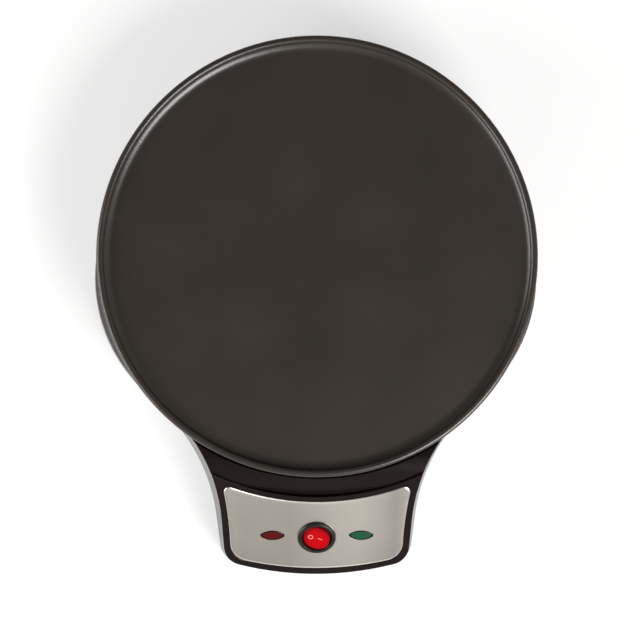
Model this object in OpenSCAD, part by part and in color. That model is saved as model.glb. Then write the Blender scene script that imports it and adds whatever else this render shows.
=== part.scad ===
// Electric crepe maker: a round cast plate on a moulded base with a sloping control console.
// Millimetres, +Z up. The feet stand on Z = 0 and the console points towards -Y.
// The origin is the middle of the footprint; the plate's axis stands at Y = plate_y.

/* [Overall] */
// Height from the table to the top of the plate's rim
overall_h = 78; // [74:1:96]
// Thickness of the rubber feet under the bottom cover
foot_h = 4; // [3.5:0.5:8]

/* [Cooking plate] */
// Outside diameter over the rim
plate_d = 310; // [300:1:318]
// Thickness of the cast floor
plate_t = 3.6; // [3:0.1:5]
// Height of the rim above the cooking surface
rim_h = 6; // [5:0.5:7]
// Width of the rounded lip on top of the rim
rim_top_w = 5.2; // [4.4:0.1:6]
// Run of the hollow wall inside the lip
rim_slope_w = 5.8; // [4:0.1:8]
// Rise of the hollow wall inside the lip
rim_rise = 2.2; // [1.4:0.1:3]
// Height of the rim's outer skirt
rim_skirt_h = 11.5; // [10:0.5:13]
// Thickness of the rim's outer skirt
rim_wall = 2.2; // [1.8:0.1:3]
// Radius of the three fixing bosses
plate_boss_r = 5.5; // [4.5:0.5:7]
// Inset of the fixing bosses from the plate's edge
plate_boss_inset = 22; // [20:0.5:23]

/* [Base housing] */
// How far the foot of the skirt stands out beyond the plate, on the radius
base_margin = 3; // [0.5:0.5:7]
// Thickness of the moulded walls
housing_wall = 2.4; // [2:0.1:3]
// Lean of the outer walls, in degrees
wall_draft = 6.5; // [5:0.5:9]
// Height of the skirt's lower edge above the table
skirt_lift = 3; // [2:0.5:3.4]
// Air gap between the rim's skirt and the housing's shoulder
shoulder_gap = 2.5; // [1.5:0.5:4]
// Inset of the opening under the plate from the plate's edge
opening_inset = 13; // [11:0.5:15]
// Width of the inner shelf that carries plate and reflector
shelf_w = 16; // [14:0.5:18]
// Depth of the shelf below the shoulder
shelf_drop = 9; // [7:0.5:11]

/* [Side grips] */
// How far each grip stands out from the skirt
grip_out = 6.6; // [4:0.1:9]
// Arc that each grip takes up, in degrees
grip_span = 50; // [36:1:60]
// Turn of the grips from the sides towards the console, in degrees
grip_turn = 16; // [8:1:24]
// Height at which the grip begins to slope in
grip_h = 26; // [18:1:34]
// Height over which the grip slopes in to the skirt
grip_slope_h = 20; // [12:1:26]

/* [Console] */
// Face left in front of the panel, measured in plan
front_margin = 7.2; // [6:0.2:14]
// Width of the console's foot at the switch
console_w = 143.4; // [136:0.2:148]
// Angle between each side wall and straight ahead, in degrees
console_taper = 7.5; // [5:0.5:10]
// Radius of the front corners
console_corner_r = 18; // [14:1:24]
// Radius of the hollow flare where the console meets the base
console_flare_r = 130; // [110:1:150]
// Slope of the panel face, in degrees
panel_tilt = 32; // [28:1:33]
// Depth of the deck below the top of the rim
deck_drop = 6; // [5.5:0.5:9]
// Gap between the rim and the deck
deck_gap = 1.5; // [1:0.1:2.5]
// Width of the sloping deck from that gap to the groove
deck_w = 13.6; // [12:0.2:16]
// Radius of the deck's rounding from level down to its slope
deck_round_r = 40; // [30:1:44]
// Fall of the face from its top to the middle of the groove
face_fall = 10.6; // [10:0.2:13]
// Depth of the groove at its middle
groove_d = 4; // [2:0.2:6]
// Distance from each end of the groove to the console's side, as at the switch
groove_end_inset = 0.7; // [0.5:0.1:8]

/* [Panel] */
// Thickness of the metal panel
panel_t = 1.4; // [1:0.1:2]
// Depth of the panel's recess in the console face
panel_recess = 0.6; // [0.4:0.1:0.9]
// Width of the lip between the groove and the panel
panel_top_gap = 3.4; // [2:0.1:5]
// Length of the panel, measured in plan
panel_run = 51; // [47:0.5:54]
// Width of the face beside the panel, as at the switch
panel_side_margin = 9.6; // [8:0.1:16]
// Radius of the hollow side edges
panel_side_r = 250; // [200:5:400]
// Radius of the lower corners
panel_lower_r = 14; // [10:1:18]
// Radius of the upper corners
panel_upper_r = 4; // [3:0.5:6]
// Gap around the panel in its recess
panel_gap = 0.4; // [0.3:0.1:0.8]

/* [Switch] */
// Distance in plan from the panel's front edge up to the switch
switch_up = 24.4; // [20.5:0.1:27.5]
// Outside diameter of the switch's bezel
bezel_d = 27.4; // [26.6:0.2:30]
// Height of the bezel above the panel
bezel_h = 2; // [1.4:0.1:2.6]
// Outside diameter of the switch's barrel
barrel_d = 24; // [23.8:0.2:24.8]
// Depth of the barrel below the console face
barrel_depth = 17; // [16.4:0.2:20]
// Diameter of the round rocker
rocker_d = 20.6; // [20:0.1:20.8]
// Height of the hollow middle of the rocker above its pivot
rocker_crown = 3.2; // [2.8:0.1:3.8]
// Full swing of the rocker, in degrees
rocker_swing = 22; // [16:1:24]
// Swing of the contact lever, in degrees
lever_swing = 12; // [8:1:13]

/* [Lamps] */
// Distance from the panel's middle line to each lamp
lamp_pitch = 31.8; // [29:0.1:36]
// Distance in plan from the panel's front edge up to the lamps
lamp_up = 25.5; // [21:0.1:29]
// Width of each lens
lens_w = 16.5; // [15:0.1:20]
// Height of each lens
lens_h = 7.8; // [7.4:0.1:10]
// Height of each lens above the panel
lens_rise = -0.2; // [-0.4:0.1:0.8]
// Gap round each lens in the panel
lens_gap = 0.45; // [0.3:0.05:0.8]
// Diameter of the stem behind each lens
lens_stem_d = 7.6; // [7:0.2:9]
// Length of the stem behind each lens
lens_stem_l = 9; // [7:0.5:11]

/* [Heating] */
// Inset of the heating element's ring from the plate's edge
element_inset = 60; // [51:0.5:67]
// Diameter of the sheathed element
element_d = 6.8; // [6:0.2:8]
// Angle left open between the element's ends, in degrees
element_gap_angle = 36; // [24:1:60]
// Depth of the reflector pan below its flange
reflector_depth = 8; // [6:0.5:9]
// Thickness of the reflector's sheet
reflector_t = 0.8; // [0.6:0.1:1]
// Radius of the reflector's middle hole
reflector_hole_r = 56; // [50:1:64]

/* [Cord inlet] */
// Diameter of the cord that the gland takes
cord_d = 7; // [6:0.1:8]
// Height of the cord inlet
inlet_z = 28; // [24:0.5:32]

/* [Bottom cover] */
// Thickness of the bottom cover
cover_t = 2.4; // [2:0.1:3]
// Gap between the cover and the skirt
cover_gap = 0.4; // [0.3:0.1:0.6]
// Width of each air slot
slot_w = 3; // [2:0.5:4]
// Number of air slots in each of the two fields
slot_count = 9; // [5:1:11]

/* [Fits] */
// Running clearance of a pin in its bore, on the radius
pin_fit = 0.05; // [0.03:0.01:0.08]
// Clearance of a screw or stem in its hole, on the radius
hole_fit = 0.3; // [0.2:0.05:0.4]
// Air left between two seated faces
seat = 0.05; // [0.02:0.01:0.1]

/* [Hidden] */
$fn = 64;
big_fn = 180;

function polar(radius, angle) = [radius * cos(angle), radius * sin(angle)];

// Main radii and heights
plate_r = plate_d / 2;
base_r = plate_r + base_margin;
opening_r = plate_r - opening_inset;
plate_boss_ring = plate_r - plate_boss_inset;
element_ring_r = plate_r - element_inset;
cook_z = overall_h - rim_h;
under_z = cook_z - plate_t;
rim_skirt_z = overall_h - rim_skirt_h;
shoulder_z = rim_skirt_z - shoulder_gap;
deck_z = overall_h - deck_drop;
shelf_z = shoulder_z - shelf_drop;
shelf_t = housing_wall;
shelf_under_z = shelf_z - shelf_t;
shelf_r = opening_r - shelf_w;
cover_z = foot_h;
cover_top_z = cover_z + cover_t;

// Rings of the console face, from the plate's axis: rim gap, lip, panel, switch and foot of the front
collar_r = plate_r + deck_gap;
lip_r = collar_r + deck_w;
panel_top_r = lip_r + panel_top_gap;
panel_end_r = panel_top_r + panel_run;
switch_reach = panel_end_r - switch_up;
lamp_reach = panel_end_r - lamp_up;
console_reach = panel_end_r + front_margin;
plate_y = (console_reach - base_r) / 2;
groove_w = console_w - 2 * groove_end_inset;
panel_w = console_w - 2 * panel_side_margin;
// Console outline: side lines, flares and corners, all at the foot of the walls
side_out = [cos(console_taper), -sin(console_taper)];
side_along = [sin(console_taper), cos(console_taper)];
side_dist = [console_w / 2, -switch_reach] * side_out;
flare_run = sqrt(pow(base_r + console_flare_r, 2) - pow(side_dist + console_flare_r, 2));
flare_c = (side_dist + console_flare_r) * side_out - flare_run * side_along;
corner_run = sqrt(pow(console_reach - console_corner_r, 2) - pow(side_dist - console_corner_r, 2));
corner_c = (side_dist - console_corner_r) * side_out - corner_run * side_along;

// Lip, groove and panel face
lip_z = deck_z - face_fall;
groove_end_reach = sqrt(pow(lip_r, 2) - pow(groove_w / 2, 2));
deck_tilt = atan(tan(panel_tilt) + groove_d / (lip_r - groove_end_reach));
deck_knee = lip_r - (deck_z - lip_z + groove_d) / tan(deck_tilt);
deck_round_c = [deck_knee - deck_round_r * tan(deck_tilt / 2), deck_z - deck_round_r];
panel_proud = panel_t - panel_recess;
function face_z(reach) = lip_z - (reach - lip_r) * tan(panel_tilt);

// Grips
grip_peak = base_r + grip_out;
grip_c = (pow(grip_peak, 2) - pow(base_r, 2)) / (2 * (grip_peak - base_r * cos(grip_span / 2)));
grip_r = grip_peak - grip_c;

// Sizes of the common screws: shank radius, head radius, head height
m4 = [2, 3.8, 2.4];
m3 = [1.5, 2.9, 1.8];
boss_r = 3.6;
post_r = 4.2;
// Hairline step where rounded corners and flares meet flat walls, and the base's seam line
corner_step = 0.02;
deck_step = 0.12;
seam_angle = 101;
slice = 1;

module about_plate() { translate([0, plate_y, 0]) children(); }
module at_angle(radius, angle) { rotate(angle) translate([radius, 0, 0]) children(); }
module both_sides() { for (side = [0, 1]) mirror([side, 0, 0]) children(); }
module on_face(x, reach) {
    about_plate() translate([x, -reach, face_z(reach)]) rotate([panel_tilt, 0, 0]) children();
}
module tube(r_out, r_in, z0, z1) {
    difference() {
        translate([0, 0, z0]) cylinder(r = r_out, h = z1 - z0);
        translate([0, 0, z0 - slice]) cylinder(r = r_in, h = z1 - z0 + 2 * slice);
    }
}
// A pan-head screw pointing up, its head seated at Z = 0, with a cross recess
module screw(size, length) {
    recess_w = size[0] * 0.35;
    recess_l = size[1] * 1.1;
    difference() {
        union() {
            translate([0, 0, -size[2]]) cylinder(r = size[1], h = size[2]);
            cylinder(r = size[0], h = length);
        }
        for (turn = [0, 90])
            rotate(turn) translate([-recess_l / 2, -recess_w / 2, -size[2] - slice])
                cube([recess_l, recess_w, slice + size[2] / 2]);
    }
}
// A round-ended slot, cut along X
module slot_cut(length, width, z0, z1) {
    translate([-length / 2, -width / 2, z0]) cube([length, width, z1 - z0]);
    for (x = [-length / 2, length / 2]) translate([x, 0, z0]) cylinder(d = width, h = z1 - z0);
}

// Wires: a smooth line through points chosen by hand, swept as a round section
function blend_at(p0, p1, p2, p3, t) = 0.5 * ((2 * p1) + (p2 - p0) * t
    + (2 * p0 - 5 * p1 + 4 * p2 - p3) * t * t + (3 * p1 - p0 - 3 * p2 + p3) * t * t * t);
function smooth_line(p, steps) = let (last = len(p) - 1) concat([for (i = [0 : last - 1]) for (k = [0 : steps - 1])
    blend_at(p[max(i - 1, 0)], p[i], p[i + 1], p[min(i + 2, last)], k / steps)], [p[last]]);
function unit(v) = v / norm(v);
wire_sides = 8;
wire_steps = 5;
function carried(across, along) = unit(across - (across * along) * along);
module wire(points, radius) {
    line = smooth_line(points, wire_steps);
    last = len(line) - 1;
    alongs = [for (i = [0 : last]) unit(line[min(i + 1, last)] - line[max(i - 1, 0)])];
    first = unit(cross(alongs[0], [0.31, 0.62, 0.48]));
    acrosses = [for (i = 0, a = first; i <= last; i = i + 1, a = i <= last ? carried(a, alongs[i]) : a) a];
    rings = [for (i = [0 : last]) let (up = cross(alongs[i], acrosses[i])) for (k = [0 : wire_sides - 1])
        line[i] + radius * (cos(360 * k / wire_sides) * acrosses[i] + sin(360 * k / wire_sides) * up)];
    sides = [for (i = [0 : last - 1]) for (k = [0 : wire_sides - 1]) let (n = (k + 1) % wire_sides)
        [i * wire_sides + k, i * wire_sides + n, (i + 1) * wire_sides + n, (i + 1) * wire_sides + k]];
    start = [for (k = [wire_sides - 1 : -1 : 0]) k];
    finish = [for (k = [0 : wire_sides - 1]) last * wire_sides + k];
    polyhedron(points = rings, faces = concat([start], sides, [finish]), convexity = 10);
}

// ---------------------------------------------------------------- housing form
// One layer of the housing's outline, drawn in by inset_low at its foot and inset_high at its top
module outline_layer(z0, z1, inset_low, inset_high) {
    h = z1 - z0;
    lean = atan((inset_high - inset_low) / h);
    reach = 2 * console_reach;
    translate([0, 0, z0]) {
        rotate(seam_angle) cylinder(h = h, r1 = base_r - inset_low, r2 = base_r - inset_high, $fn = big_fn);
        difference() {
            intersection() {
                cylinder(h = h, r1 = console_reach - inset_low, r2 = console_reach - inset_high, $fn = big_fn);
                mirror([1, 0, 0]) side_space(inset_low, lean, reach);
                translate([-reach, -reach, 0]) cube([2 * reach, reach, h]);
                side_space(inset_low, lean, reach);
            }
            both_sides() corner_waste(h, inset_low, inset_high);
        }
        both_sides() difference() {
            linear_extrude(h) polygon([[0, 0], flare_c, flare_c - (console_flare_r + console_corner_r) * side_out]);
            translate([flare_c[0], flare_c[1], 0])
                cylinder(h = h, r1 = console_flare_r + corner_step + inset_low,
                    r2 = console_flare_r + corner_step + inset_high, $fn = big_fn);
        }
    }
}
// Everything inboard of the right-hand side wall
module side_space(inset_low, lean, reach) {
    rotate(-console_taper) translate([side_dist - inset_low, 0, 0]) rotate([0, -lean, 0])
        translate([-2 * reach, -reach, -reach]) cube([2 * reach, 2 * reach, 2 * reach]);
}
// The sharp corner outside the rounded one
module corner_waste(h, inset_low, inset_high) {
    out = unit(corner_c);
    far = 3 * console_corner_r;
    difference() {
        translate([0, 0, -slice]) linear_extrude(h + 2 * slice)
            polygon([corner_c, corner_c + far * out, corner_c + far * (out + side_out), corner_c + far * side_out]);
        translate([corner_c[0], corner_c[1], -slice])
            corner_cone(h, console_corner_r - corner_step - inset_low, console_corner_r - corner_step - inset_high);
    }
}
module corner_cone(h, r_low, r_high) {
    spread = (r_low - r_high) / h * slice;
    cylinder(h = h + 2 * slice, r1 = r_low + spread, r2 = r_high - spread, $fn = big_fn / 2);
}
function draft_inset(z) = (z - skirt_lift) * tan(wall_draft);
// Everything above a plane that falls to the front through the groove's middle
module above_slope(tilt, z, inset) {
    reach = 2 * console_reach;
    translate([0, -lip_r, z]) rotate([tilt, 0, 0])
        translate([-reach, -reach, -inset]) cube([2 * reach, 2 * reach, reach]);
}
// Above the panel face, and above the steeper deck behind the lip
module face_waste(inset) {
    above_slope(panel_tilt, lip_z, inset);
    intersection() {
        union() {
            above_slope(deck_tilt, lip_z - groove_d, inset);
            deck_round_waste(deck_round_r - inset);
        }
        cylinder(h = overall_h, r = lip_r + inset, $fn = big_fn);
    }
}
// The corner between the level deck and its slope, outside a round bar along the knee
module deck_round_waste(r) {
    low = [deck_round_c[0] + r * sin(deck_tilt), deck_round_c[1] + r * cos(deck_tilt)];
    difference() {
        translate([-console_reach, -low[0], low[1]])
            cube([2 * console_reach, low[0] - deck_round_c[0], deck_round_c[1] + r + slice - low[1]]);
        translate([-console_reach - slice, -deck_round_c[0], deck_round_c[1]]) rotate([0, 90, 0])
            cylinder(h = 2 * (console_reach + slice), r = r + deck_step, $fn = big_fn);
    }
}
// The whole housing's form, drawn in by a constant inset
module housing_form(inset, z_low) {
    top_z = deck_z - inset;
    difference() {
        outline_layer(z_low, top_z, inset + draft_inset(z_low), inset + draft_inset(top_z));
        face_waste(inset);
        translate([0, 0, shoulder_z - inset]) cylinder(h = deck_z, r = collar_r + inset, $fn = big_fn);
    }
}
module grip(turn) {
    low_r = grip_r;
    mid_r = grip_r - draft_inset(grip_h);
    top_r = base_r - draft_inset(grip_h + grip_slope_h) - housing_wall / 2 - grip_c;
    foot_z = skirt_lift - slice;
    back_r = base_r - housing_wall / 2;
    difference() {
        rotate(turn) translate([grip_c, 0, 0]) {
            translate([0, 0, skirt_lift]) cylinder(h = grip_h - skirt_lift, r1 = low_r, r2 = mid_r, $fn = big_fn);
            translate([0, 0, grip_h]) cylinder(h = grip_slope_h, r1 = mid_r, r2 = top_r, $fn = big_fn);
        }
        rotate(seam_angle) translate([0, 0, foot_z]) cylinder(h = shoulder_z - foot_z, r1 = back_r - draft_inset(foot_z),
            r2 = back_r - draft_inset(shoulder_z), $fn = big_fn);
    }
}

// Panel outline in plan, grown by a gap: concentric ends, hollow sides, rounded corners
panel_side_c = [panel_w / 2 + panel_side_r, -(panel_end_r - panel_lower_r)];
// Where a circle round the plate's axis crosses a circle round the side's centre, on the panel's side
function meet(r_axis, r_side) = let (
    d = norm(panel_side_c),
    along = (d * d + r_axis * r_axis - r_side * r_side) / (2 * d),
    off = sqrt(r_axis * r_axis - along * along),
    dir = unit(panel_side_c)
) [along * dir[0] + off * dir[1], along * dir[1] - off * dir[0]];
function arc_points(c, r, from, to, n) = [for (i = [0 : n]) c + polar(r, from + (to - from) * i / n)];
function bearing(v) = atan2(v[1], v[0]);
function panel_half(grow) = let (
    low_c = meet(panel_end_r - panel_lower_r, panel_side_r + panel_lower_r),
    high_c = meet(panel_top_r + panel_upper_r, panel_side_r + panel_upper_r),
    low_in = bearing(panel_side_c - low_c),
    high_in = bearing(panel_side_c - high_c)
) concat(
    arc_points([0, 0], panel_end_r + grow, -90, bearing(low_c), 8),
    arc_points(low_c, panel_lower_r + grow, bearing(low_c), low_in, 7),
    arc_points(panel_side_c, panel_side_r - grow, low_in + 180, high_in + 180, 5),
    arc_points(high_c, panel_upper_r + grow, high_in, 180 + bearing(high_c), 5),
    arc_points([0, 0], panel_top_r - grow, bearing(high_c), -90, 8)
);
function mirrored(points) = [for (i = [len(points) - 1 : -1 : 0]) [-points[i][0], points[i][1]]];
module panel_prism(grow) {
    half = panel_half(grow);
    linear_extrude(2 * overall_h) polygon(concat(half, mirrored(half)));
}
// The panel's outline between two levels of the console face
module panel_layer(grow, low, high) {
    intersection() {
        about_plate() panel_prism(grow);
        on_face(0, switch_reach) translate([-panel_w, -panel_w, low]) cube([2 * panel_w, 2 * panel_w, high - low]);
    }
}
panel_studs = [[panel_w / 2 - 9, panel_top_r + 9], [panel_w / 2 - 12, panel_end_r - 10]];
stud_r = 1.2;
stud_l = 6;
module at_studs() { for (p = panel_studs, side = [-1, 1]) on_face(side * p[0], p[1]) children(); }

// Places of posts, feet and bosses, from the plate's axis
skirt_posts = [40, 140, 190, 350];
skirt_post_ring = base_r - 19;
console_post = [console_w / 2 - 21, -(switch_reach - 2)];
post_places = concat([for (a = skirt_posts) polar(skirt_post_ring, a)],
    [console_post, [-console_post[0], console_post[1]]]);
foot_inset = 36.4;
front_foot = [console_w / 2 - 9.3, -(switch_reach - 48.3)];
foot_places = [polar(base_r - foot_inset, 45), polar(base_r - foot_inset, 135),
    front_foot, [-front_foot[0], front_foot[1]]];
foot_r = 9;
foot_stem_r = 3;
plate_boss_angles = [90, 210, 330];

module at_points(points) { about_plate() for (p = points) translate([p[0], p[1], 0]) children(); }

// ---------------------------------------------------------------- cooking plate
element_r = element_d / 2;
element_z = under_z - seat - element_r;
ridge_low_z = element_z - element_r;
ridge_w = 3;
clip_angles = [18, 90, 162, 234, 306];
clip_t = 1;
clip_screw_ring = element_ring_r + element_r + ridge_w + boss_r + 2;
washer_t = 1.2;
boss_low_z = shelf_z + reflector_t + washer_t;
thermostat_at = [0, -30];
thermostat_r = 8.6;
thermostat_ear = 15.5;
pad_z = under_z - 2;
ear_z = pad_z - 4.4;
fuse_at = [-30, 4];
fuse_screw_at = fuse_at + [8.5, 0];
earth_at = [30, 40];
tag_z = under_z - 7;

bead_r = rim_top_w / 2;
flat_r = plate_r - rim_top_w - rim_slope_w;
hollow_r = (pow(rim_slope_w, 2) + pow(rim_rise, 2)) / (2 * rim_rise);
hollow_turn = 2 * atan(rim_rise / rim_slope_w);
module cooking_plate() color("#2b2b2c") about_plate() difference() {
    union() {
        rotate_extrude($fn = big_fn) polygon(concat(
            [[0, under_z], [0, cook_z]],
            arc_points([flat_r, cook_z + hollow_r], hollow_r, -90, hollow_turn - 90, 6),
            arc_points([plate_r - bead_r, overall_h - bead_r], bead_r, 180, 0, 12),
            [[plate_r - 0.8, rim_skirt_z], [plate_r - 0.8 - rim_wall, rim_skirt_z],
            [plate_r - 1 - rim_wall, under_z + 3], [flat_r + 2, under_z]]));
        tube(element_ring_r + element_r + seat + ridge_w, element_ring_r + element_r + seat, ridge_low_z, under_z + slice);
        tube(element_ring_r - element_r - seat, element_ring_r - element_r - seat - ridge_w, ridge_low_z, under_z + slice);
        for (a = plate_boss_angles) at_angle(plate_boss_ring, a)
            translate([0, 0, boss_low_z + seat]) cylinder(r = plate_boss_r, h = cook_z - slice - boss_low_z);
        for (a = clip_angles) at_angle(clip_screw_ring, a)
            translate([0, 0, ridge_low_z]) cylinder(r = boss_r, h = cook_z - slice - ridge_low_z);
        translate([thermostat_at[0], thermostat_at[1], pad_z])
            cylinder(r = thermostat_r + 2, h = cook_z - slice - pad_z);
        for (side = [-1, 1]) translate([thermostat_at[0] + side * thermostat_ear, thermostat_at[1], ear_z])
            cylinder(r = boss_r, h = cook_z - slice - ear_z);
        translate([fuse_screw_at[0], fuse_screw_at[1], fuse_strap_z]) cylinder(r = boss_r, h = cook_z - slice - fuse_strap_z);
        translate([earth_at[0], earth_at[1], tag_z]) cylinder(r = boss_r, h = cook_z - slice - tag_z);
    }
    for (a = plate_boss_angles) at_angle(plate_boss_ring, a)
        translate([0, 0, boss_low_z - slice]) cylinder(r = m4[0] + pin_fit, h = slice + plate_screw_grip + 1);
    for (a = clip_angles) at_angle(clip_screw_ring, a) tapped(ridge_low_z);
    for (side = [-1, 1]) translate([thermostat_at[0] + side * thermostat_ear, thermostat_at[1], 0]) tapped(ear_z);
    translate([fuse_screw_at[0], fuse_screw_at[1], 0]) tapped(fuse_strap_z);
    translate([earth_at[0], earth_at[1], 0]) tapped(tag_z);
}
screw_grip = 4.5;
plate_screw_grip = 8;
module tapped(z) { translate([0, 0, z - slice]) cylinder(r = m3[0] + pin_fit, h = slice + screw_grip + 0.5); }

// ---------------------------------------------------------------- housing
gland_face_r = base_r - draft_inset(inlet_z) + 0.6;
gland_boss_r = cord_d / 2 + 6.5;
gland_body_r = cord_d / 2 + 2.6;
gland_flange_r = cord_d / 2 + 5;
gland_flange_t = 2;
gland_boss_l = 9;
gland_snap_t = 2.5;
clamp_post_x = cord_d / 2 + 7.5;
clamp_y = gland_face_r - gland_boss_l - 20;
clamp_bar_t = 3;
clamp_face_z = inlet_z - cord_d / 2 - 0.2;
clamp_post_r = 3.8;
rib_t = 4;
post_low_z = cover_top_z + seat;
self_tap_depth = 14;

module upper_housing() color("#1d1a19") about_plate() difference() {
    union() {
        difference() {
            housing_form(0, skirt_lift);
            housing_form(housing_wall, skirt_lift - slice);
            translate([0, 0, shelf_z]) cylinder(r = opening_r, h = overall_h, $fn = big_fn);
        }
        for (turn = [-grip_turn, 180 + grip_turn]) grip(turn);
        rotate_extrude($fn = big_fn) polygon([
            [shelf_r, shelf_under_z], [opening_r + housing_wall, shelf_under_z],
            [opening_r + housing_wall, shoulder_z - housing_wall / 2], [opening_r, shoulder_z - housing_wall / 2],
            [opening_r, shelf_z], [shelf_r, shelf_z]]);
        for (a = skirt_posts) at_angle(skirt_post_ring, a)
            translate([0, 0, post_low_z]) cylinder(r = post_r, h = shelf_z - slice - post_low_z);
        intersection() {
            for (side = [-1, 1]) translate([side * console_post[0], console_post[1], post_low_z])
                cylinder(r = post_r, h = overall_h);
            housing_form(housing_wall / 2, skirt_lift);
        }
        translate([0, gland_face_r, inlet_z]) rotate([90, 0, 0]) cylinder(r = gland_boss_r, h = gland_boss_l);
        for (side = [-1, 1]) translate([side * clamp_post_x, clamp_y, clamp_face_z])
            cylinder(r = clamp_post_r, h = shelf_z - slice - clamp_face_z);
        translate([-clamp_post_x, clamp_y - rib_t / 2, inlet_z + cord_d / 2 - 0.8])
            cube([2 * clamp_post_x, rib_t, shelf_z - slice - inlet_z - cord_d / 2]);
    }
    for (a = plate_boss_angles) at_angle(plate_boss_ring, a)
        translate([0, 0, shelf_under_z - slice]) cylinder(r = m4[0] + hole_fit, h = shelf_t + 2 * slice);
    for (p = post_places) translate([p[0], p[1], post_low_z - slice])
        cylinder(r = m3[0] + pin_fit, h = self_tap_depth + slice);
    for (side = [-1, 1]) translate([side * clamp_post_x, clamp_y, clamp_face_z - slice])
        cylinder(r = m3[0] + pin_fit, h = self_tap_depth + slice);
    translate([0, gland_face_r + slice, inlet_z]) rotate([90, 0, 0]) {
        cylinder(r = gland_flange_r + 2 * seat, h = gland_flange_t + slice);
        cylinder(r = gland_body_r + pin_fit, h = gland_boss_l + 2 * slice);
    }
    translate([0, -plate_y, 0]) {
        panel_layer(panel_gap, -panel_recess, 2 * panel_t);
        on_face(0, switch_reach) translate([0, 0, -2 * housing_wall])
            cylinder(d = barrel_d + 2 * hole_fit, h = 4 * housing_wall);
        at_lamps() translate([0, 0, -2 * housing_wall])
            cylinder(d = lens_stem_d + 2 * hole_fit, h = 3 * housing_wall);
        at_studs() translate([0, 0, -2 * housing_wall]) cylinder(r = stud_r + hole_fit, h = 3 * housing_wall);
    }
}
module at_lamps() { for (side = [-1, 1]) on_face(side * lamp_pitch, lamp_reach) children(); }

slot_pitch = 9;
slot_l = 64;
slot_field_x = 52;
cover_inset = housing_wall + draft_inset(cover_top_z) + cover_gap;
cover_rib_r = base_r - 45;
cover_rib_t = 2.4;
cover_rib_h = 3;
module lower_cover() color("#242120") about_plate() difference() {
    union() {
        outline_layer(cover_z, cover_top_z, cover_inset, cover_inset);
        rotate_extrude($fn = big_fn) polygon([
            [cover_rib_r - cover_rib_t, cover_top_z - slice], [cover_rib_r, cover_top_z - slice],
            [cover_rib_r, cover_top_z + cover_rib_h], [cover_rib_r - cover_rib_t, cover_top_z + cover_rib_h]]);
    }
    for (p = post_places) translate([p[0], p[1], cover_z - slice])
        cylinder(r = m3[0] + hole_fit, h = cover_t + 2 * slice);
    for (p = foot_places) translate([p[0], p[1], cover_z - slice])
        cylinder(r = foot_stem_r + pin_fit, h = cover_t + 5);
    for (side = [-1, 1], i = [0 : slot_count - 1])
        translate([side * slot_field_x, (i - (slot_count - 1) / 2) * slot_pitch - 20, 0])
            slot_cut(slot_l - slot_w, slot_w, cover_z - slice, cover_top_z + slice);
    for (x = block_screw_x) translate([x, block_y, cover_z - slice])
        cylinder(r = m3[0] + pin_fit, h = cover_t + 2 * slice);
}

foot_head_r = 4.4;
module rubber_feet() color("#151515") at_points(foot_places) rotate_extrude() polygon([
    [0, 0], [foot_r - 0.8, 0], [foot_r, 0.8], [foot_r - 0.6, cover_z - seat], [foot_stem_r, cover_z - seat],
    [foot_stem_r, cover_top_z + seat], [foot_head_r, cover_top_z + seat],
    [foot_stem_r - 0.6, cover_top_z + 3.2], [0, cover_top_z + 3.2]]);

module housing_screws() color("silver") at_points(post_places)
    translate([0, 0, cover_z - seat]) screw(m3, cover_t + self_tap_depth - 3);

// ---------------------------------------------------------------- panel
module control_panel() color("#c3beb8") difference() {
    union() {
        panel_layer(0, -panel_recess + seat, panel_proud);
        at_studs() translate([0, 0, -stud_l]) cylinder(r = stud_r, h = stud_l);
    }
    on_face(0, switch_reach) translate([0, 0, -panel_t]) cylinder(d = barrel_d + 2 * hole_fit, h = 3 * panel_t);
    at_lamps() lens_shape(lens_gap, -2 * panel_t, 3 * panel_t);
}
nut_r = 3.4;
nut_t = 0.5;
module panel_nuts() color("gainsboro") at_studs()
    tube(nut_r, stud_r + pin_fit, -housing_wall - seat - nut_t, -housing_wall - seat);

// ---------------------------------------------------------------- switch
bezel_z = panel_proud + seat;
bezel_top = bezel_z + bezel_h;
pivot_z = bezel_top - 2.65;
rocker_r = rocker_d / 2;
barrel_r_in = rocker_r + hole_fit;
trunnion_r = 1.2;
trunnion_l = barrel_d / 2 - 0.1;
sleeve_r = 2.8;
plunger_r = 1.6;
plunger_reach = 10.2;
sleeve_reach = 7;
lever_t = 0.8;
lever_axis_z = pivot_z - plunger_reach - 0.4 - lever_t;
lever_l = 14;
lever_w = 4;
lever_off = 6;
lever_pin_r = 0.6;
contact_r = 1.2;
contact_t = 0.7;
floor_top = -barrel_depth + 2;
tab_w = 4.8;
tab_t = 0.8;
tab_end = -barrel_depth - 9;
rocker_hollow_r = 45;
barb_l = 1.2;

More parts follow.
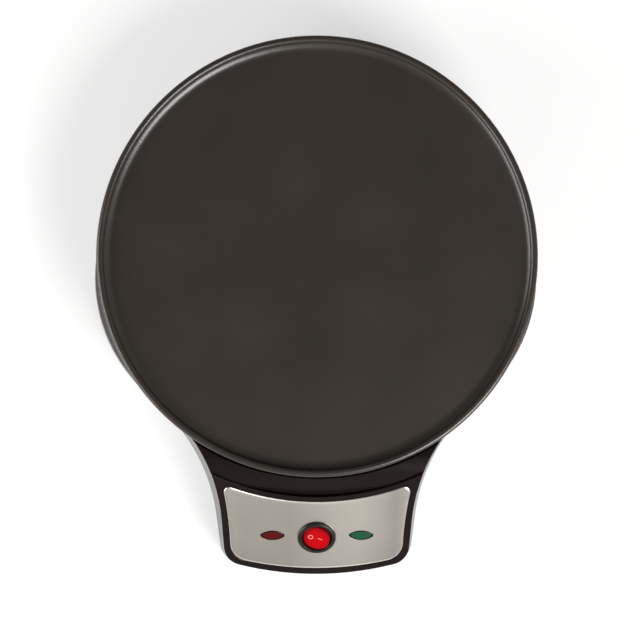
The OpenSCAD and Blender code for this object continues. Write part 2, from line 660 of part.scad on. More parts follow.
module at_switch() { on_face(0, switch_reach) children(); }
module tab_bar(x, z0, z1, grow = 0) {
    translate([x - tab_t / 2 - grow, -tab_w / 2 - grow, z0]) cube([tab_t + 2 * grow, tab_w + 2 * grow, z1 - z0]);
}
module switch_body() color("#1b1b1b") at_switch() difference() {
    union() {
        rotate_extrude() polygon([
            [0, -barrel_depth], [barrel_d / 2 - 0.6, -barrel_depth], [barrel_d / 2, -barrel_depth + 0.6],
            [barrel_d / 2, bezel_z], [bezel_d / 2, bezel_z], [bezel_d / 2, bezel_z + 0.5 * bezel_h],
            [bezel_d / 2 - 0.7, bezel_top - 0.25], [bezel_d / 2 - 1.5, bezel_top],
            [barrel_r_in + 0.4, bezel_top], [barrel_r_in, bezel_top - 0.4],
            [barrel_r_in, floor_top], [0, floor_top]]);
        for (side = [-1, 1]) translate([side * (barrel_d / 2 + barb_l / 2 - 0.3), 0, -housing_wall - 2.4])
            cube([barb_l + 0.6, 4, 4], center = true);
        translate([lever_off - 1, -lever_w / 2, floor_top - slice])
            cube([2, lever_w, lever_axis_z - 1.2 - floor_top + slice]);
    }
    translate([0, barrel_d, pivot_z]) rotate([90, 0, 0]) cylinder(r = trunnion_r + pin_fit, h = 2 * barrel_d);
    for (x = [-lever_off, 0]) tab_bar(x, -barrel_depth - slice, floor_top + slice, 0.1);
    tab_bar(lever_off + 3, -barrel_depth - slice, floor_top + slice, 0.1);
}
module turned(angle, z) { translate([0, 0, z]) rotate([0, angle, 0]) translate([0, 0, -z]) children(); }
module at_rocker() { at_switch() turned(-rocker_swing / 2, pivot_z) children(); }

module switch_rocker() color("#d5121f") at_rocker() difference() {
    union() {
        intersection() {
            translate([0, 0, pivot_z]) sphere(r = rocker_r, $fn = 96);
            translate([-rocker_d, -rocker_d, pivot_z - 3]) cube([2 * rocker_d, 2 * rocker_d, rocker_d]);
        }
        translate([0, trunnion_l, pivot_z]) rotate([90, 0, 0]) cylinder(r = trunnion_r, h = 2 * trunnion_l);
        translate([0, 0, pivot_z - sleeve_reach]) cylinder(r = sleeve_r, h = sleeve_reach);
    }
    translate([0, rocker_d, pivot_z + rocker_crown + rocker_hollow_r]) rotate([90, 0, 0])
        cylinder(r = rocker_hollow_r, h = 2 * rocker_d, $fn = big_fn);
    translate([0, 0, pivot_z - sleeve_reach - slice]) cylinder(r = plunger_r + pin_fit, h = sleeve_reach - 1.4 + slice);
}
plunger_top = pivot_z - 5;
module switch_plunger() color("gold") at_rocker() {
    tip_z = pivot_z - plunger_reach + plunger_r;
    translate([0, 0, tip_z]) cylinder(r = plunger_r, h = plunger_top - tip_z);
    translate([0, 0, tip_z]) intersection() {
        sphere(r = plunger_r);
        translate([-sleeve_r, -sleeve_r, -sleeve_r]) cube([2 * sleeve_r, 2 * sleeve_r, sleeve_r]);
    }
}
spring_turns = 5;
spring_wire_r = 0.2;
spring_coil_r = plunger_r - spring_wire_r - pin_fit;
spring_low = plunger_top + spring_wire_r + seat;
spring_high = pivot_z - 1.4 - spring_wire_r - seat;
spring_steps = 60;
module switch_spring() color("silver") at_rocker() {
    coil_line = [for (i = [0 : spring_steps]) let (t = i / spring_steps, a = 360 * spring_turns * t)
        [spring_coil_r * cos(a), spring_coil_r * sin(a), spring_low + (spring_high - spring_low) * t]];
    coil(coil_line);
}
module coil(line) {
    last = len(line) - 1;
    n = 6;
    rings = [for (i = [0 : last]) let (out = unit([line[i][0], line[i][1], 0])) for (k = [0 : n - 1])
        line[i] + spring_wire_r * (cos(360 * k / n) * out + sin(360 * k / n) * [0, 0, 1])];
    sides = [for (i = [0 : last - 1]) for (k = [0 : n - 1]) let (m = (k + 1) % n)
        [i * n + k, (i + 1) * n + k, (i + 1) * n + m, i * n + m]];
    polyhedron(points = rings, faces = concat([[for (k = [0 : n - 1]) k]], sides,
        [[for (k = [n - 1 : -1 : 0]) last * n + k]]), convexity = 10);
}
module switch_lever() color("#c07a3a") at_switch() turned(lever_swing / 2, lever_axis_z) {
    translate([0, lever_w / 2, lever_axis_z]) rotate([90, 0, 0]) cylinder(r = lever_pin_r, h = lever_w);
    translate([-lever_l / 2, -lever_w / 2, lever_axis_z]) cube([lever_l, lever_w, lever_t]);
    translate([-lever_off, 0, lever_axis_z - contact_t]) cylinder(r = contact_r, h = contact_t + lever_t / 2);
}
fixed_contact_z = lever_axis_z - contact_t - lever_off * sin(lever_swing / 2) - 0.2;
module switch_terminals() color("#b8963c") at_switch() {
    difference() {
        tab_bar(0, tab_end, lever_axis_z);
        translate([0, lever_w, lever_axis_z]) rotate([90, 0, 0]) cylinder(r = lever_pin_r + pin_fit, h = 2 * lever_w);
    }
    tab_bar(-lever_off, tab_end, fixed_contact_z - 0.6);
    translate([-lever_off, 0, fixed_contact_z - 0.8]) cylinder(r = contact_r, h = 0.8);
    tab_bar(lever_off + 3, tab_end, floor_top + 1);
}

// ---------------------------------------------------------------- lamps
lens_point_r = (pow(lens_w * 1.12, 2) + pow(lens_h, 2)) / (4 * lens_h);
lens_stem_r = lens_stem_d / 2;
lamp_r = 2.1;
// A pointed oval with blunted tips
module lens_shape(grow, z0, z1) {
    h = z1 - z0;
    translate([0, 0, z0]) intersection() {
        translate([0, lens_point_r - lens_h / 2, 0]) cylinder(r = lens_point_r + grow, h = h, $fn = big_fn);
        translate([0, lens_h / 2 - lens_point_r, 0]) cylinder(r = lens_point_r + grow, h = h, $fn = big_fn);
        cylinder(r = lens_w / 2 + grow, h = h);
    }
}
module lens(side) on_face(side * lamp_pitch, lamp_reach) difference() {
    union() {
        intersection() {
            lens_shape(0, -panel_recess + seat, panel_proud + lens_rise);
            translate([0, 0, panel_proud + lens_rise - lens_dome_r]) sphere(r = lens_dome_r, $fn = big_fn);
        }
        translate([0, 0, -lens_stem_l]) cylinder(r = lens_stem_r, h = lens_stem_l);
    }
    translate([0, 0, -lens_stem_l - slice]) cylinder(r = lamp_r + hole_fit, h = lens_stem_l + slice - 1);
}
lens_dome_r = 60;
module power_lens() color("#7d1420") lens(-1);
module ready_lens() color("#2c7a4e") lens(1);
module lens_clips() color("silver") at_lamps()
    tube(lens_stem_r + 3, lens_stem_r + pin_fit, -housing_wall - seat - 0.6, -housing_wall - seat);
module neon_lamps() color("lightgrey") at_lamps() {
    lamp_low = -lens_stem_l - 0.5;
    translate([0, 0, lamp_low]) cylinder(r = lamp_r, h = lens_stem_l - 3.5);
    for (x = [-1, 1]) translate([x, 0, lamp_low - 3]) cylinder(r = 0.3, h = 3.5);
}

// ---------------------------------------------------------------- heating
leg_z = shelf_z - reflector_depth - 6;
leg_angle = element_gap_angle / 2;
leg_top_z = element_z;
blade_l = 8;
module heating_element() color("#5a5a58") about_plate() {
    rotate(-90 + leg_angle) translate([0, 0, element_z]) rotate_extrude(angle = 360 - 2 * leg_angle, $fn = big_fn)
        translate([element_ring_r, 0]) circle(r = element_r);
    for (side = [-1, 1]) at_angle(element_ring_r, -90 + side * leg_angle) {
        translate([0, 0, element_z]) sphere(r = element_r);
        translate([0, 0, leg_z]) cylinder(r = element_r, h = element_z - leg_z);
        translate([-3.15, -0.4, leg_z - blade_l]) cube([6.3, 0.8, blade_l + slice]);
    }
}
clip_l = clip_screw_ring + boss_r - element_ring_r + element_r + ridge_w + 1;
module element_clips() color("#9a9a98") about_plate() for (a = clip_angles) at_angle(clip_screw_ring, a) difference() {
    translate([boss_r - clip_l, -6, ridge_low_z - seat - clip_t]) cube([clip_l, 12, clip_t]);
    translate([0, 0, ridge_low_z - 2 * slice - clip_t]) cylinder(r = m3[0] + hole_fit, h = 3 * slice + clip_t);
}
module clip_screws() color("silver") about_plate() for (a = clip_angles) at_angle(clip_screw_ring, a)
    translate([0, 0, ridge_low_z - 2 * seat - clip_t]) screw(m3, clip_t + screw_grip - 0.5);

pan_r = shelf_r - hole_fit - 0.2;
pan_low = shelf_z - reflector_depth;
pan_flange_r = opening_r - 1.5;
module heat_reflector() color("#a9adb0") about_plate() difference() {
    rotate_extrude($fn = big_fn) polygon([
        [pan_flange_r, shelf_z + seat / 2], [pan_flange_r, shelf_z + reflector_t],
        [pan_r - 0.6, shelf_z + reflector_t], [pan_r - 6.6, pan_low + reflector_t],
        [reflector_hole_r + reflector_t, pan_low + reflector_t], [reflector_hole_r + reflector_t, pan_low + 4],
        [reflector_hole_r, pan_low + 4], [reflector_hole_r, pan_low], [pan_r - 6, pan_low],
        [pan_r, shelf_z + seat / 2]]);
    for (a = plate_boss_angles) at_angle(plate_boss_ring, a)
        translate([0, 0, pan_low]) cylinder(r = m4[0] + hole_fit, h = reflector_depth + 2 * slice);
    for (side = [-1, 1]) at_angle(element_ring_r, -90 + side * leg_angle)
        translate([0, 0, pan_low - slice]) cylinder(r = element_r + 1.5, h = 3 * slice);
}
module insulating_washers() color("#d9d2b8") about_plate() for (a = plate_boss_angles) at_angle(plate_boss_ring, a)
    tube(plate_boss_r, m4[0] + hole_fit, shelf_z + reflector_t + seat, boss_low_z);
module plate_screws() color("silver") about_plate() for (a = plate_boss_angles) at_angle(plate_boss_ring, a)
    translate([0, 0, shelf_under_z - seat]) screw(m4, shelf_t + reflector_t + washer_t + plate_screw_grip);

// ---------------------------------------------------------------- thermostat
module at_thermostat() { about_plate() translate([thermostat_at[0], thermostat_at[1], 0]) children(); }
cap_top = pad_z - seat;
cap_wall = 0.6;
thermo_body_r = thermostat_r - cap_wall - seat;
web_top = cap_top - 4.15;
web_t = 1.8;
chamber_r = thermo_body_r - 1.6;
thermo_low = web_top - 12.2;
chamber_low = thermo_low + 2;
disc_z = web_top + 1.2;
ring_h = disc_z - seat - web_top;
disc_t = 0.3;
pin_r = 1;
pin_travel = 0.6;
pin_top = disc_z - 0.3;
pin_low = web_top - web_t - 2.8;
arm_t = 0.35;
arm_pivot_x = -5;
arm_top = pin_low - 0.3;
arm_axis_z = arm_top - arm_t / 2;
arm_l = 10.2;
arm_w = 3.2;
knuckle_r = 0.75;
saddle_drop = 0.56;
post_pin_r = 0.9;
contact_post_x = 5.7;

module thermostat_cap() color("#b9bcbe") at_thermostat() difference() {
    union() {
        translate([0, 0, web_top - web_t]) cylinder(r = thermostat_r, h = cap_top - web_top + web_t);
        translate([-thermostat_ear, -4, ear_z - seat - 0.8]) cube([2 * thermostat_ear, 8, 0.8]);
        for (side = [-1, 1]) translate([side * thermostat_ear, 0, ear_z - seat - 0.8]) cylinder(r = 4, h = 0.8);
    }
    translate([0, 0, web_top - web_t - slice])
        cylinder(r = thermo_body_r + seat, h = cap_top - cap_wall - web_top + web_t + slice);
    for (side = [-1, 1]) translate([side * thermostat_ear, 0, ear_z - 3 * slice])
        cylinder(r = m3[0] + hole_fit, h = 4 * slice);
}
module thermostat_body() color("#3a2c22") at_thermostat() difference() {
    union() {
        translate([0, 0, thermo_low]) cylinder(r = thermo_body_r, h = web_top - thermo_low);
        tube(thermo_body_r, thermo_body_r - 1, web_top - slice, web_top + ring_h);
    }
    translate([0, 0, chamber_low]) cylinder(r = chamber_r, h = web_top - web_t - chamber_low);
    translate([0, 0, chamber_low]) cylinder(r = pin_r + pin_fit, h = web_top);
    for (x = [arm_pivot_x, contact_post_x - 0.6]) translate([x, 0, thermo_low - slice])
        cylinder(r = post_pin_r + pin_fit, h = 4 * slice);
}
module bimetal_disc() color("#8f7a55") at_thermostat()
    translate([0, 0, disc_z]) cylinder(r = thermo_body_r - 0.3, h = disc_t);
module thermostat_pin() color("ivory") at_thermostat()
    translate([0, 0, pin_low]) cylinder(r = pin_r, h = pin_top - pin_low);
module thermostat_arm() color("#c58a4a") at_thermostat() {
    translate([arm_pivot_x, -arm_w / 2, arm_top - arm_t]) cube([arm_l, arm_w, arm_t]);
    translate([arm_pivot_x, arm_w / 2, arm_axis_z]) rotate([90, 0, 0]) cylinder(r = knuckle_r, h = arm_w);
    translate([arm_pivot_x + arm_l - 1, 0, arm_top - arm_t / 2]) cylinder(r = 0.8, h = 1 + arm_t / 2);
}
thermo_tab_end = thermo_low - 9;
module thermostat_terminals() color("#b8963c") at_thermostat() {
    for (x = [arm_pivot_x, contact_post_x - 0.6]) {
        translate([x, 0, thermo_low - 1]) cylinder(r = post_pin_r, h = chamber_low + 1.5 - thermo_low + 1);
        translate([x - 0.4, -2.4, thermo_tab_end]) cube([0.8, 4.8, thermo_low - seat - thermo_tab_end]);
    }
    difference() {
        translate([arm_pivot_x, 0, chamber_low + 1]) cylinder(r = 0.7, h = arm_axis_z - saddle_drop - chamber_low - 1);
        translate([arm_pivot_x, arm_w, arm_axis_z]) rotate([90, 0, 0]) cylinder(r = knuckle_r + pin_fit, h = 2 * arm_w);
    }
    translate([contact_post_x - 0.3, -0.8, chamber_low + 1]) cube([0.6, 1.6, arm_top + 1.7 - chamber_low - 1]);
    translate([contact_post_x - 2.4, -0.8, arm_top + 1.15]) cube([2.5, 1.6, 0.55]);
}
module thermostat_screws() color("silver") at_thermostat() for (side = [-1, 1])
    translate([side * thermostat_ear, 0, ear_z - 2 * seat - 0.8]) screw(m3, screw_grip + 0.3);

// ---------------------------------------------------------------- thermal fuse and earth
sleeve_out_r = 3.4;
sleeve_in_r = 2.6;
sleeve_l = 36;
fuse_z = under_z - seat - sleeve_out_r;
fuse_strap_z = fuse_z - sleeve_out_r;
module at_fuse() { about_plate() translate([fuse_at[0], fuse_at[1], fuse_z]) rotate([90, 0, 0]) children(); }
module thermal_fuse() color("#cfcfcf") at_fuse() {
    translate([0, 0, -7]) cylinder(r = 2.2, h = 14);
    translate([0, 0, -sleeve_l / 2 - 3]) cylinder(r = 0.6, h = sleeve_l + 6);
}
module fuse_sleeve() color("#d8c27a") at_fuse() tube(sleeve_out_r, sleeve_in_r, -sleeve_l / 2, sleeve_l / 2);
strap_l = fuse_screw_at[0] - fuse_at[0] + boss_r + sleeve_out_r + 1;
module fuse_strap() color("#9a9a98") about_plate() difference() {
    translate([fuse_screw_at[0] + boss_r - strap_l, fuse_at[1] - 5, fuse_strap_z - seat - 0.8])
        cube([strap_l, 10, 0.8]);
    translate([fuse_screw_at[0], fuse_screw_at[1], fuse_strap_z - 3 * slice])
        cylinder(r = m3[0] + hole_fit, h = 4 * slice);
}
module fuse_screw() color("silver") about_plate()
    translate([fuse_screw_at[0], fuse_screw_at[1], fuse_strap_z - 2 * seat - 0.8]) screw(m3, screw_grip + 0.3);
module earth_tag() color("#b8963c") about_plate() translate([earth_at[0], earth_at[1], tag_z - seat - 0.8]) difference() {
    union() {
        cylinder(r = 4.2, h = 0.8);
        translate([-3.15, -14, 0]) cube([6.3, 14, 0.8]);
    }
    translate([0, 0, -slice]) cylinder(r = m3[0] + hole_fit, h = 3 * slice);
}
module earth_screw() color("silver") about_plate()
    translate([earth_at[0], earth_at[1], tag_z - 2 * seat - 0.8]) screw(m3, screw_grip + 0.3);

// ---------------------------------------------------------------- cord inlet
cord_r = cord_d / 2;
cord_bore_r = cord_r + 0.1;
gland_snap_r = gland_body_r + 1;
gland_l = gland_boss_l + seat + gland_snap_t + 1;
module cord_gland() color("#111111") about_plate() translate([0, gland_face_r, inlet_z]) rotate([90, 0, 0])
    rotate_extrude() polygon([
        [cord_bore_r, 0], [gland_flange_r - 0.8, 0], [gland_flange_r, 0.6], [gland_flange_r, gland_flange_t - seat],
        [gland_body_r, gland_flange_t - seat], [gland_body_r, gland_boss_l + seat],
        [gland_snap_r, gland_boss_l + seat], [gland_body_r - 0.6, gland_l], [cord_bore_r, gland_l]]);
clamp_w = 9;
module cord_clamp() color("#2a2624") about_plate() difference() {
    union() {
        translate([-clamp_post_x, clamp_y - clamp_w / 2, clamp_face_z - seat - clamp_bar_t])
            cube([2 * clamp_post_x, clamp_w, clamp_bar_t]);
        for (side = [-1, 1]) translate([side * clamp_post_x, clamp_y, clamp_face_z - seat - clamp_bar_t])
            cylinder(r = clamp_w / 2, h = clamp_bar_t);
    }
    for (side = [-1, 1]) translate([side * clamp_post_x, clamp_y, clamp_face_z - clamp_bar_t - slice])
        cylinder(r = m3[0] + hole_fit, h = clamp_bar_t + 2 * slice);
    translate([0, clamp_y + clamp_w, inlet_z - 1]) rotate([90, 0, 0]) cylinder(r = cord_r, h = 2 * clamp_w);
}
module clamp_screws() color("silver") about_plate() for (side = [-1, 1])
    translate([side * clamp_post_x, clamp_y, clamp_face_z - 2 * seat - clamp_bar_t]) screw(m3, clamp_bar_t + 10);

// ---------------------------------------------------------------- terminal block
block_y = clamp_y - 44;
block_w = 36;
block_l = 18;
block_h = 12;
pole_x = [-11.5, 0, 11.5];
block_screw_x = [-5.75, 5.75];
block_low = cover_top_z + seat;
pole_z = block_low + 6;
insert_r = 2.4;
insert_bore_r = 1.6;
module terminal_block() color("#e7e2d4") about_plate() difference() {
    translate([-block_w / 2, block_y - block_l / 2, block_low]) cube([block_w, block_l, block_h]);
    for (x = pole_x) translate([x, block_y + block_l, pole_z]) rotate([90, 0, 0])
        cylinder(r = insert_r + pin_fit, h = 2 * block_l);
    for (x = pole_x, y = [-5, 5]) translate([x, block_y + y, pole_z]) cylinder(r = m3[0] + hole_fit + 0.8, h = block_h);
    for (x = block_screw_x) translate([x, block_y, block_low - slice]) {
        cylinder(r = m3[0] + hole_fit, h = block_h + 2 * slice);
        translate([0, 0, slice + block_h - 3]) cylinder(r = m3[1] + 0.1, h = block_h);
    }
}
module terminal_inserts() color("#c9a54a") about_plate() for (x = pole_x) difference() {
    translate([x, block_y + 8, pole_z]) rotate([90, 0, 0]) cylinder(r = insert_r, h = 16);
    translate([x, block_y + block_l, pole_z]) rotate([90, 0, 0]) cylinder(r = insert_bore_r, h = 2 * block_l);
    for (y = [-5, 5]) translate([x, block_y + y, pole_z]) cylinder(r = m3[0] + pin_fit, h = insert_r + slice);
}
module terminal_screws() color("silver") about_plate() for (x = pole_x, y = [-5, 5])
    translate([x, block_y + y, pole_z + wire_r + seat]) difference() {
        cylinder(r = m3[0], h = block_h - 8);
        translate([-2, -0.3, block_h - 8.8]) cube([4, 0.6, slice]);
    }
module block_screws() color("silver") about_plate() for (x = block_screw_x)
    translate([x, block_y, block_low + block_h - 3 + seat]) mirror([0, 0, 1]) screw(m3, block_h - 3 + cover_t);

// ---------------------------------------------------------------- wiring
wire_r = 1.2;
lamp_wire_r = 0.6;
tab_gap = tab_end - seat;
lamp_gap = -lens_stem_l - 3.5 - seat;
lead_step = 4;
thermo_x = [thermostat_at[0] + arm_pivot_x, thermostat_at[0] + contact_post_x - 0.6];
leg_tip_z = leg_z - blade_l - seat;
block_front = block_y - block_l / 2 + 4;
fuse_lead = sleeve_l / 2 + 3 + seat;
// Heights and places that the wires pass
run_z = cover_top_z + 7.6;
low_run_z = cover_top_z + 3.2;
over_rib_z = cover_top_z + cover_rib_h + lamp_wire_r + 1.6;
side_x = block_w / 2 + 6;
rear_y = block_y - 50;
leg_x = element_ring_r * sin(leg_angle);
leg_y = -element_ring_r * cos(leg_angle);
near_y = -switch_reach + 68;
face_y = -switch_reach + 40;
main_off = -1.9;
// Three points in a line, from a wire's end outwards, so that it meets its tab squarely
function lead(end, dir) = [for (step = [0 : 2]) end + step * lead_step * dir];
function reversed(list) = [for (i = [len(list) - 1 : -1 : 0]) list[i]];
function under_face(x, reach, depth) = lead(
    [x, -reach - depth * sin(panel_tilt), face_z(reach) + depth * cos(panel_tilt)],
    [0, sin(panel_tilt), -cos(panel_tilt)]);
function under_tab(at, z) = lead([at[0], at[1], z], [0, 0, -1]);
function at_leg(side, off) = under_tab(polar(element_ring_r + off, -90 + side * leg_angle), leg_tip_z);
function at_block(pole) = lead([pole_x[pole], block_front, pole_z], [0, -1.5, 0]);
function at_fuse_end(side) = lead([fuse_at[0], fuse_at[1] + side * fuse_lead, fuse_z], [0, side, 0]);
module wire_live() color("#6b3f22") about_plate() wire(concat(at_block(0),
    [[-side_x, rear_y, run_z], [-leg_x, leg_y + 30, run_z], [-leg_x / 2, near_y, run_z]],
    reversed(under_face(0, switch_reach, tab_gap))), wire_r);
module wire_switched() color("#222222") about_plate() wire(concat(under_face(-lever_off, switch_reach, tab_gap),
    [[10 - leg_x, near_y, run_z + 8], [7 - leg_x, leg_y + 10, run_z + 16],
        [thermo_x[0] - 4, thermostat_at[1] - 14, thermo_tab_end - 11]],
    reversed(under_tab([thermo_x[0], thermostat_at[1]], thermo_tab_end - seat))), wire_r);
module wire_element() color("#a33a2a") about_plate() wire(concat(
    under_tab([thermo_x[1], thermostat_at[1]], thermo_tab_end - seat),
    [[thermo_x[1] + 9, thermostat_at[1] - 22, thermo_tab_end - 12], [leg_x - 8, leg_y + 14, leg_tip_z - 12]],
    reversed(at_leg(1, main_off))), wire_r);
module wire_neutral() color("#2d5fa8") about_plate() {
    wire(concat(at_block(2), [[side_x, rear_y, run_z], [0, rear_y - 6, run_z + 12],
        [fuse_at[0] + 6, fuse_at[1] + 34, run_z + 28], [fuse_at[0], fuse_at[1] + 37, fuse_z - 9]],
        reversed(at_fuse_end(1))), wire_r);
    wire(concat(at_fuse_end(-1), [[fuse_at[0], fuse_at[1] - 38, fuse_z - 13],
        [fuse_at[0], fuse_at[1] - 54, fuse_z - 29], [-leg_x, leg_y + 10, leg_tip_z - 12]],
        reversed(at_leg(-1, main_off))), wire_r);
}
module wire_earth() color("#7aa032") about_plate() wire(concat(at_block(1),
    [[10, block_y - 24, run_z + 6], [earth_at[0] - 2, earth_at[1] - 12, run_z + 22]],
    reversed(under_tab([earth_at[0], earth_at[1] - 12], tag_z - 0.8 - 2 * seat))), wire_r);
module wire_lamps() color("#8a8a8a") about_plate() {
    wire(concat(under_face(-lamp_pitch + 1.2, lamp_reach, lamp_gap), [[-lamp_pitch + 4, face_y - 18, run_z + 6],
        [-lamp_pitch + 18, face_y, run_z + 8], [lever_off + 2, face_y + 8, run_z + 4]],
        reversed(under_face(lever_off + 3, switch_reach, tab_gap))), lamp_wire_r);
    wire(concat(under_face(lamp_pitch - 1.2, lamp_reach, lamp_gap), [[lamp_pitch - 3, face_y - 18, run_z + 6],
        [lamp_pitch, near_y + 10, run_z + 8], [leg_x + 2, leg_y - 8, leg_tip_z - 13]],
        reversed(at_leg(1, 1.9))), lamp_wire_r);
    wire(concat(under_face(-lamp_pitch - 1.2, lamp_reach, lamp_gap), [[-lamp_pitch - 3, face_y - 18, run_z + 6],
        [-lamp_pitch - 4, near_y + 10, run_z + 8], [-leg_x - 2, leg_y - 9, leg_tip_z - 13]],
        reversed(at_leg(-1, 2.5))), lamp_wire_r);
    wire(concat(under_face(lamp_pitch + 1.2, lamp_reach, lamp_gap), [[lamp_pitch + 3, face_y - 18, run_z + 4],
        [lamp_pitch + 2, face_y, run_z], [0, leg_y - 20, over_rib_z], [5 - leg_x, leg_y - 8, low_run_z],
        [-leg_x - 1, leg_y + 1, low_run_z + 6]], reversed(at_leg(-1, 0.7))), lamp_wire_r);
}

cooking_plate();
upper_housing();
lower_cover();
rubber_feet();
housing_screws();
control_panel();
panel_nuts();
switch_body();
switch_rocker();
switch_plunger();
switch_spring();
switch_lever();
switch_terminals();
power_lens();
ready_lens();
lens_clips();
neon_lamps();
heating_element();
element_clips();
clip_screws();
heat_reflector();
insulating_washers();
plate_screws();
thermostat_cap();
thermostat_body();
bimetal_disc();
thermostat_pin();
thermostat_arm();
thermostat_terminals();
thermostat_screws();
thermal_fuse();
fuse_sleeve();
fuse_strap();
fuse_screw();
earth_tag();
earth_screw();
cord_gland();
cord_clamp();
clamp_screws();
terminal_block();
terminal_inserts();
terminal_screws();
block_screws();
wire_live();
wire_switched();
wire_neutral();
wire_element();
wire_earth();
wire_lamps();
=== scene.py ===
import math

import bmesh
import bpy
from mathutils import Matrix, Vector


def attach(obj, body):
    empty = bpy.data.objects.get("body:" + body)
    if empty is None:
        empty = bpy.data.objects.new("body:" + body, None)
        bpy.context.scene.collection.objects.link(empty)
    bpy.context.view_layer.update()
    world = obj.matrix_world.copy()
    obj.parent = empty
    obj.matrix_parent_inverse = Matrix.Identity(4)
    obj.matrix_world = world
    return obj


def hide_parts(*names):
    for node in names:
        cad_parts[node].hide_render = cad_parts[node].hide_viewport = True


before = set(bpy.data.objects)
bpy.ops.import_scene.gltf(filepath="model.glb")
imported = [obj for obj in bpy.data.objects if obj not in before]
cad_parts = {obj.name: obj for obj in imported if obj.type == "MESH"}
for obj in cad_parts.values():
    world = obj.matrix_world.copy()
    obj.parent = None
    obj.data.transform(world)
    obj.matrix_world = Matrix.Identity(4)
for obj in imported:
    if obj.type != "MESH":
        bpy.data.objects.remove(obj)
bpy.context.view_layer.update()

# ------------------------------------------------------------------ studio
# White table under two large soft lamps, front right and front left, and a surround that is
# bright low down in front and dim overhead. The camera looks straight down from high above.
AIM = Vector((0.00175, -0.0078, 0.078))
CAMERA_AT = Vector((-0.023, -0.0078, 1.478))
CAMERA_LENS, CAMERA_SENSOR = 112.5, 36.0
SURROUND_TINT = (1.0, 0.985, 0.96, 1)
GREY_BY_HEIGHT = ((0.0, 0.12), (0.18, 0.30), (0.42, 0.64), (0.7, 0.34), (1.0, 0.07))
FRONT_TO_BACK = (("From Min", -0.1), ("From Max", 0.9), ("To Min", 1.0), ("To Max", 0.22))
TABLE_SIZE = 8
TABLE_WHITE = (0.90, 0.89, 0.88, 1)
TABLE_ROUGH, TABLE_SPEC = 0.9, 0.1
GLOW_SHARE = 0.58

camera_data = bpy.data.cameras.new("camera")
camera_data.lens = CAMERA_LENS
camera_data.sensor_width = CAMERA_SENSOR
camera = bpy.data.objects.new("camera", camera_data)
camera.location = CAMERA_AT
looking = (AIM - CAMERA_AT).normalized()
rightwards = looking.cross(Vector((0, 1, 0))).normalized()
camera.rotation_euler = Matrix((rightwards, rightwards.cross(looking), -looking)).transposed().to_euler()
bpy.context.scene.collection.objects.link(camera)
bpy.context.scene.camera = camera
bpy.context.scene.view_settings.view_transform = "Standard"


def soft_lamp(name, at, aim, size, watts):
    data = bpy.data.lights.new(name, "AREA")
    data.shape = "RECTANGLE"
    data.size, data.size_y = size
    data.energy = watts
    lamp = bpy.data.objects.new(name, data)
    lamp.location = at
    lamp.rotation_euler = (Vector(aim) - Vector(at)).to_track_quat("-Z", "Y").to_euler()
    bpy.context.scene.collection.objects.link(lamp)


soft_lamp("front_right", (1.0, -1.1, 1.5), (0, 0, 0), (1.0, 1.0), 58)
soft_lamp("front_left", (-1.35, -0.35, 0.64), (0, 0, 0.05), (1.3, 0.85), 24)


def shade_ramp(nodes, stops):
    """A colour ramp through (place, colour) stops, given in order."""
    ramp = nodes.new("ShaderNodeValToRGB")
    first, last = ramp.color_ramp.elements
    first.position, first.color = stops[0]
    last.position, last.color = stops[-1]
    for place, color in stops[1:-1]:
        ramp.color_ramp.elements.new(place).color = color
    return ramp


def grey(level):
    return (level, level, level, 1)


world = bpy.data.worlds.new("surround")
world.use_nodes = True
bpy.context.scene.world = world
wn, wl = world.node_tree.nodes, world.node_tree.links
direction = wn.new("ShaderNodeTexCoord")
split = wn.new("ShaderNodeSeparateXYZ")
by_height = shade_ramp(wn, [(place, grey(level)) for place, level in GREY_BY_HEIGHT])
by_side = wn.new("ShaderNodeMapRange")
for socket, value in FRONT_TO_BACK:
    by_side.inputs[socket].default_value = value
strength = wn.new("ShaderNodeMath")
strength.operation = "MULTIPLY"
wl.new(direction.outputs["Generated"], split.inputs[0])
wl.new(split.outputs["Z"], by_height.inputs["Fac"])
wl.new(split.outputs["Y"], by_side.inputs["Value"])
wl.new(by_height.outputs["Color"], strength.inputs[0])
wl.new(by_side.outputs["Result"], strength.inputs[1])
wn["Background"].inputs["Color"].default_value = SURROUND_TINT
wl.new(strength.outputs[0], wn["Background"].inputs["Strength"])
white = wn.new("ShaderNodeBackground")
white.inputs["Strength"].default_value = 1.0
seen = wn.new("ShaderNodeLightPath")
pick = wn.new("ShaderNodeMixShader")
wl.new(seen.outputs["Is Camera Ray"], pick.inputs["Fac"])
wl.new(wn["Background"].outputs[0], pick.inputs[1])
wl.new(white.outputs[0], pick.inputs[2])
wl.new(pick.outputs[0], wn["World Output"].inputs["Surface"])

# The table keeps the shadow, and glows white only to the camera and in reflections.
bpy.ops.mesh.primitive_plane_add(size=TABLE_SIZE, location=(0, 0, 0))
table = bpy.context.object
table.name = "table"
table_mat = bpy.data.materials.new("table_white")
table_mat.use_nodes = True
tn, tl = table_mat.node_tree.nodes, table_mat.node_tree.links
table_skin = tn["Principled BSDF"]
table_skin.inputs["Base Color"].default_value = TABLE_WHITE
table_skin.inputs["Roughness"].default_value = TABLE_ROUGH
table_skin.inputs["Specular IOR Level"].default_value = TABLE_SPEC
glow = tn.new("ShaderNodeEmission")
glow.inputs["Strength"].default_value = 1.0
path = tn.new("ShaderNodeLightPath")
rays = path.outputs["Is Camera Ray"]
for kind in ("Is Glossy Ray", "Is Transmission Ray"):
    either = tn.new("ShaderNodeMath")
    either.operation = "MAXIMUM"
    tl.new(rays, either.inputs[0])
    tl.new(path.outputs[kind], either.inputs[1])
    rays = either.outputs[0]
share = tn.new("ShaderNodeMath")
share.operation = "MULTIPLY"
share.inputs[1].default_value = GLOW_SHARE
mix = tn.new("ShaderNodeMixShader")
tl.new(rays, share.inputs[0])
tl.new(share.outputs[0], mix.inputs["Fac"])
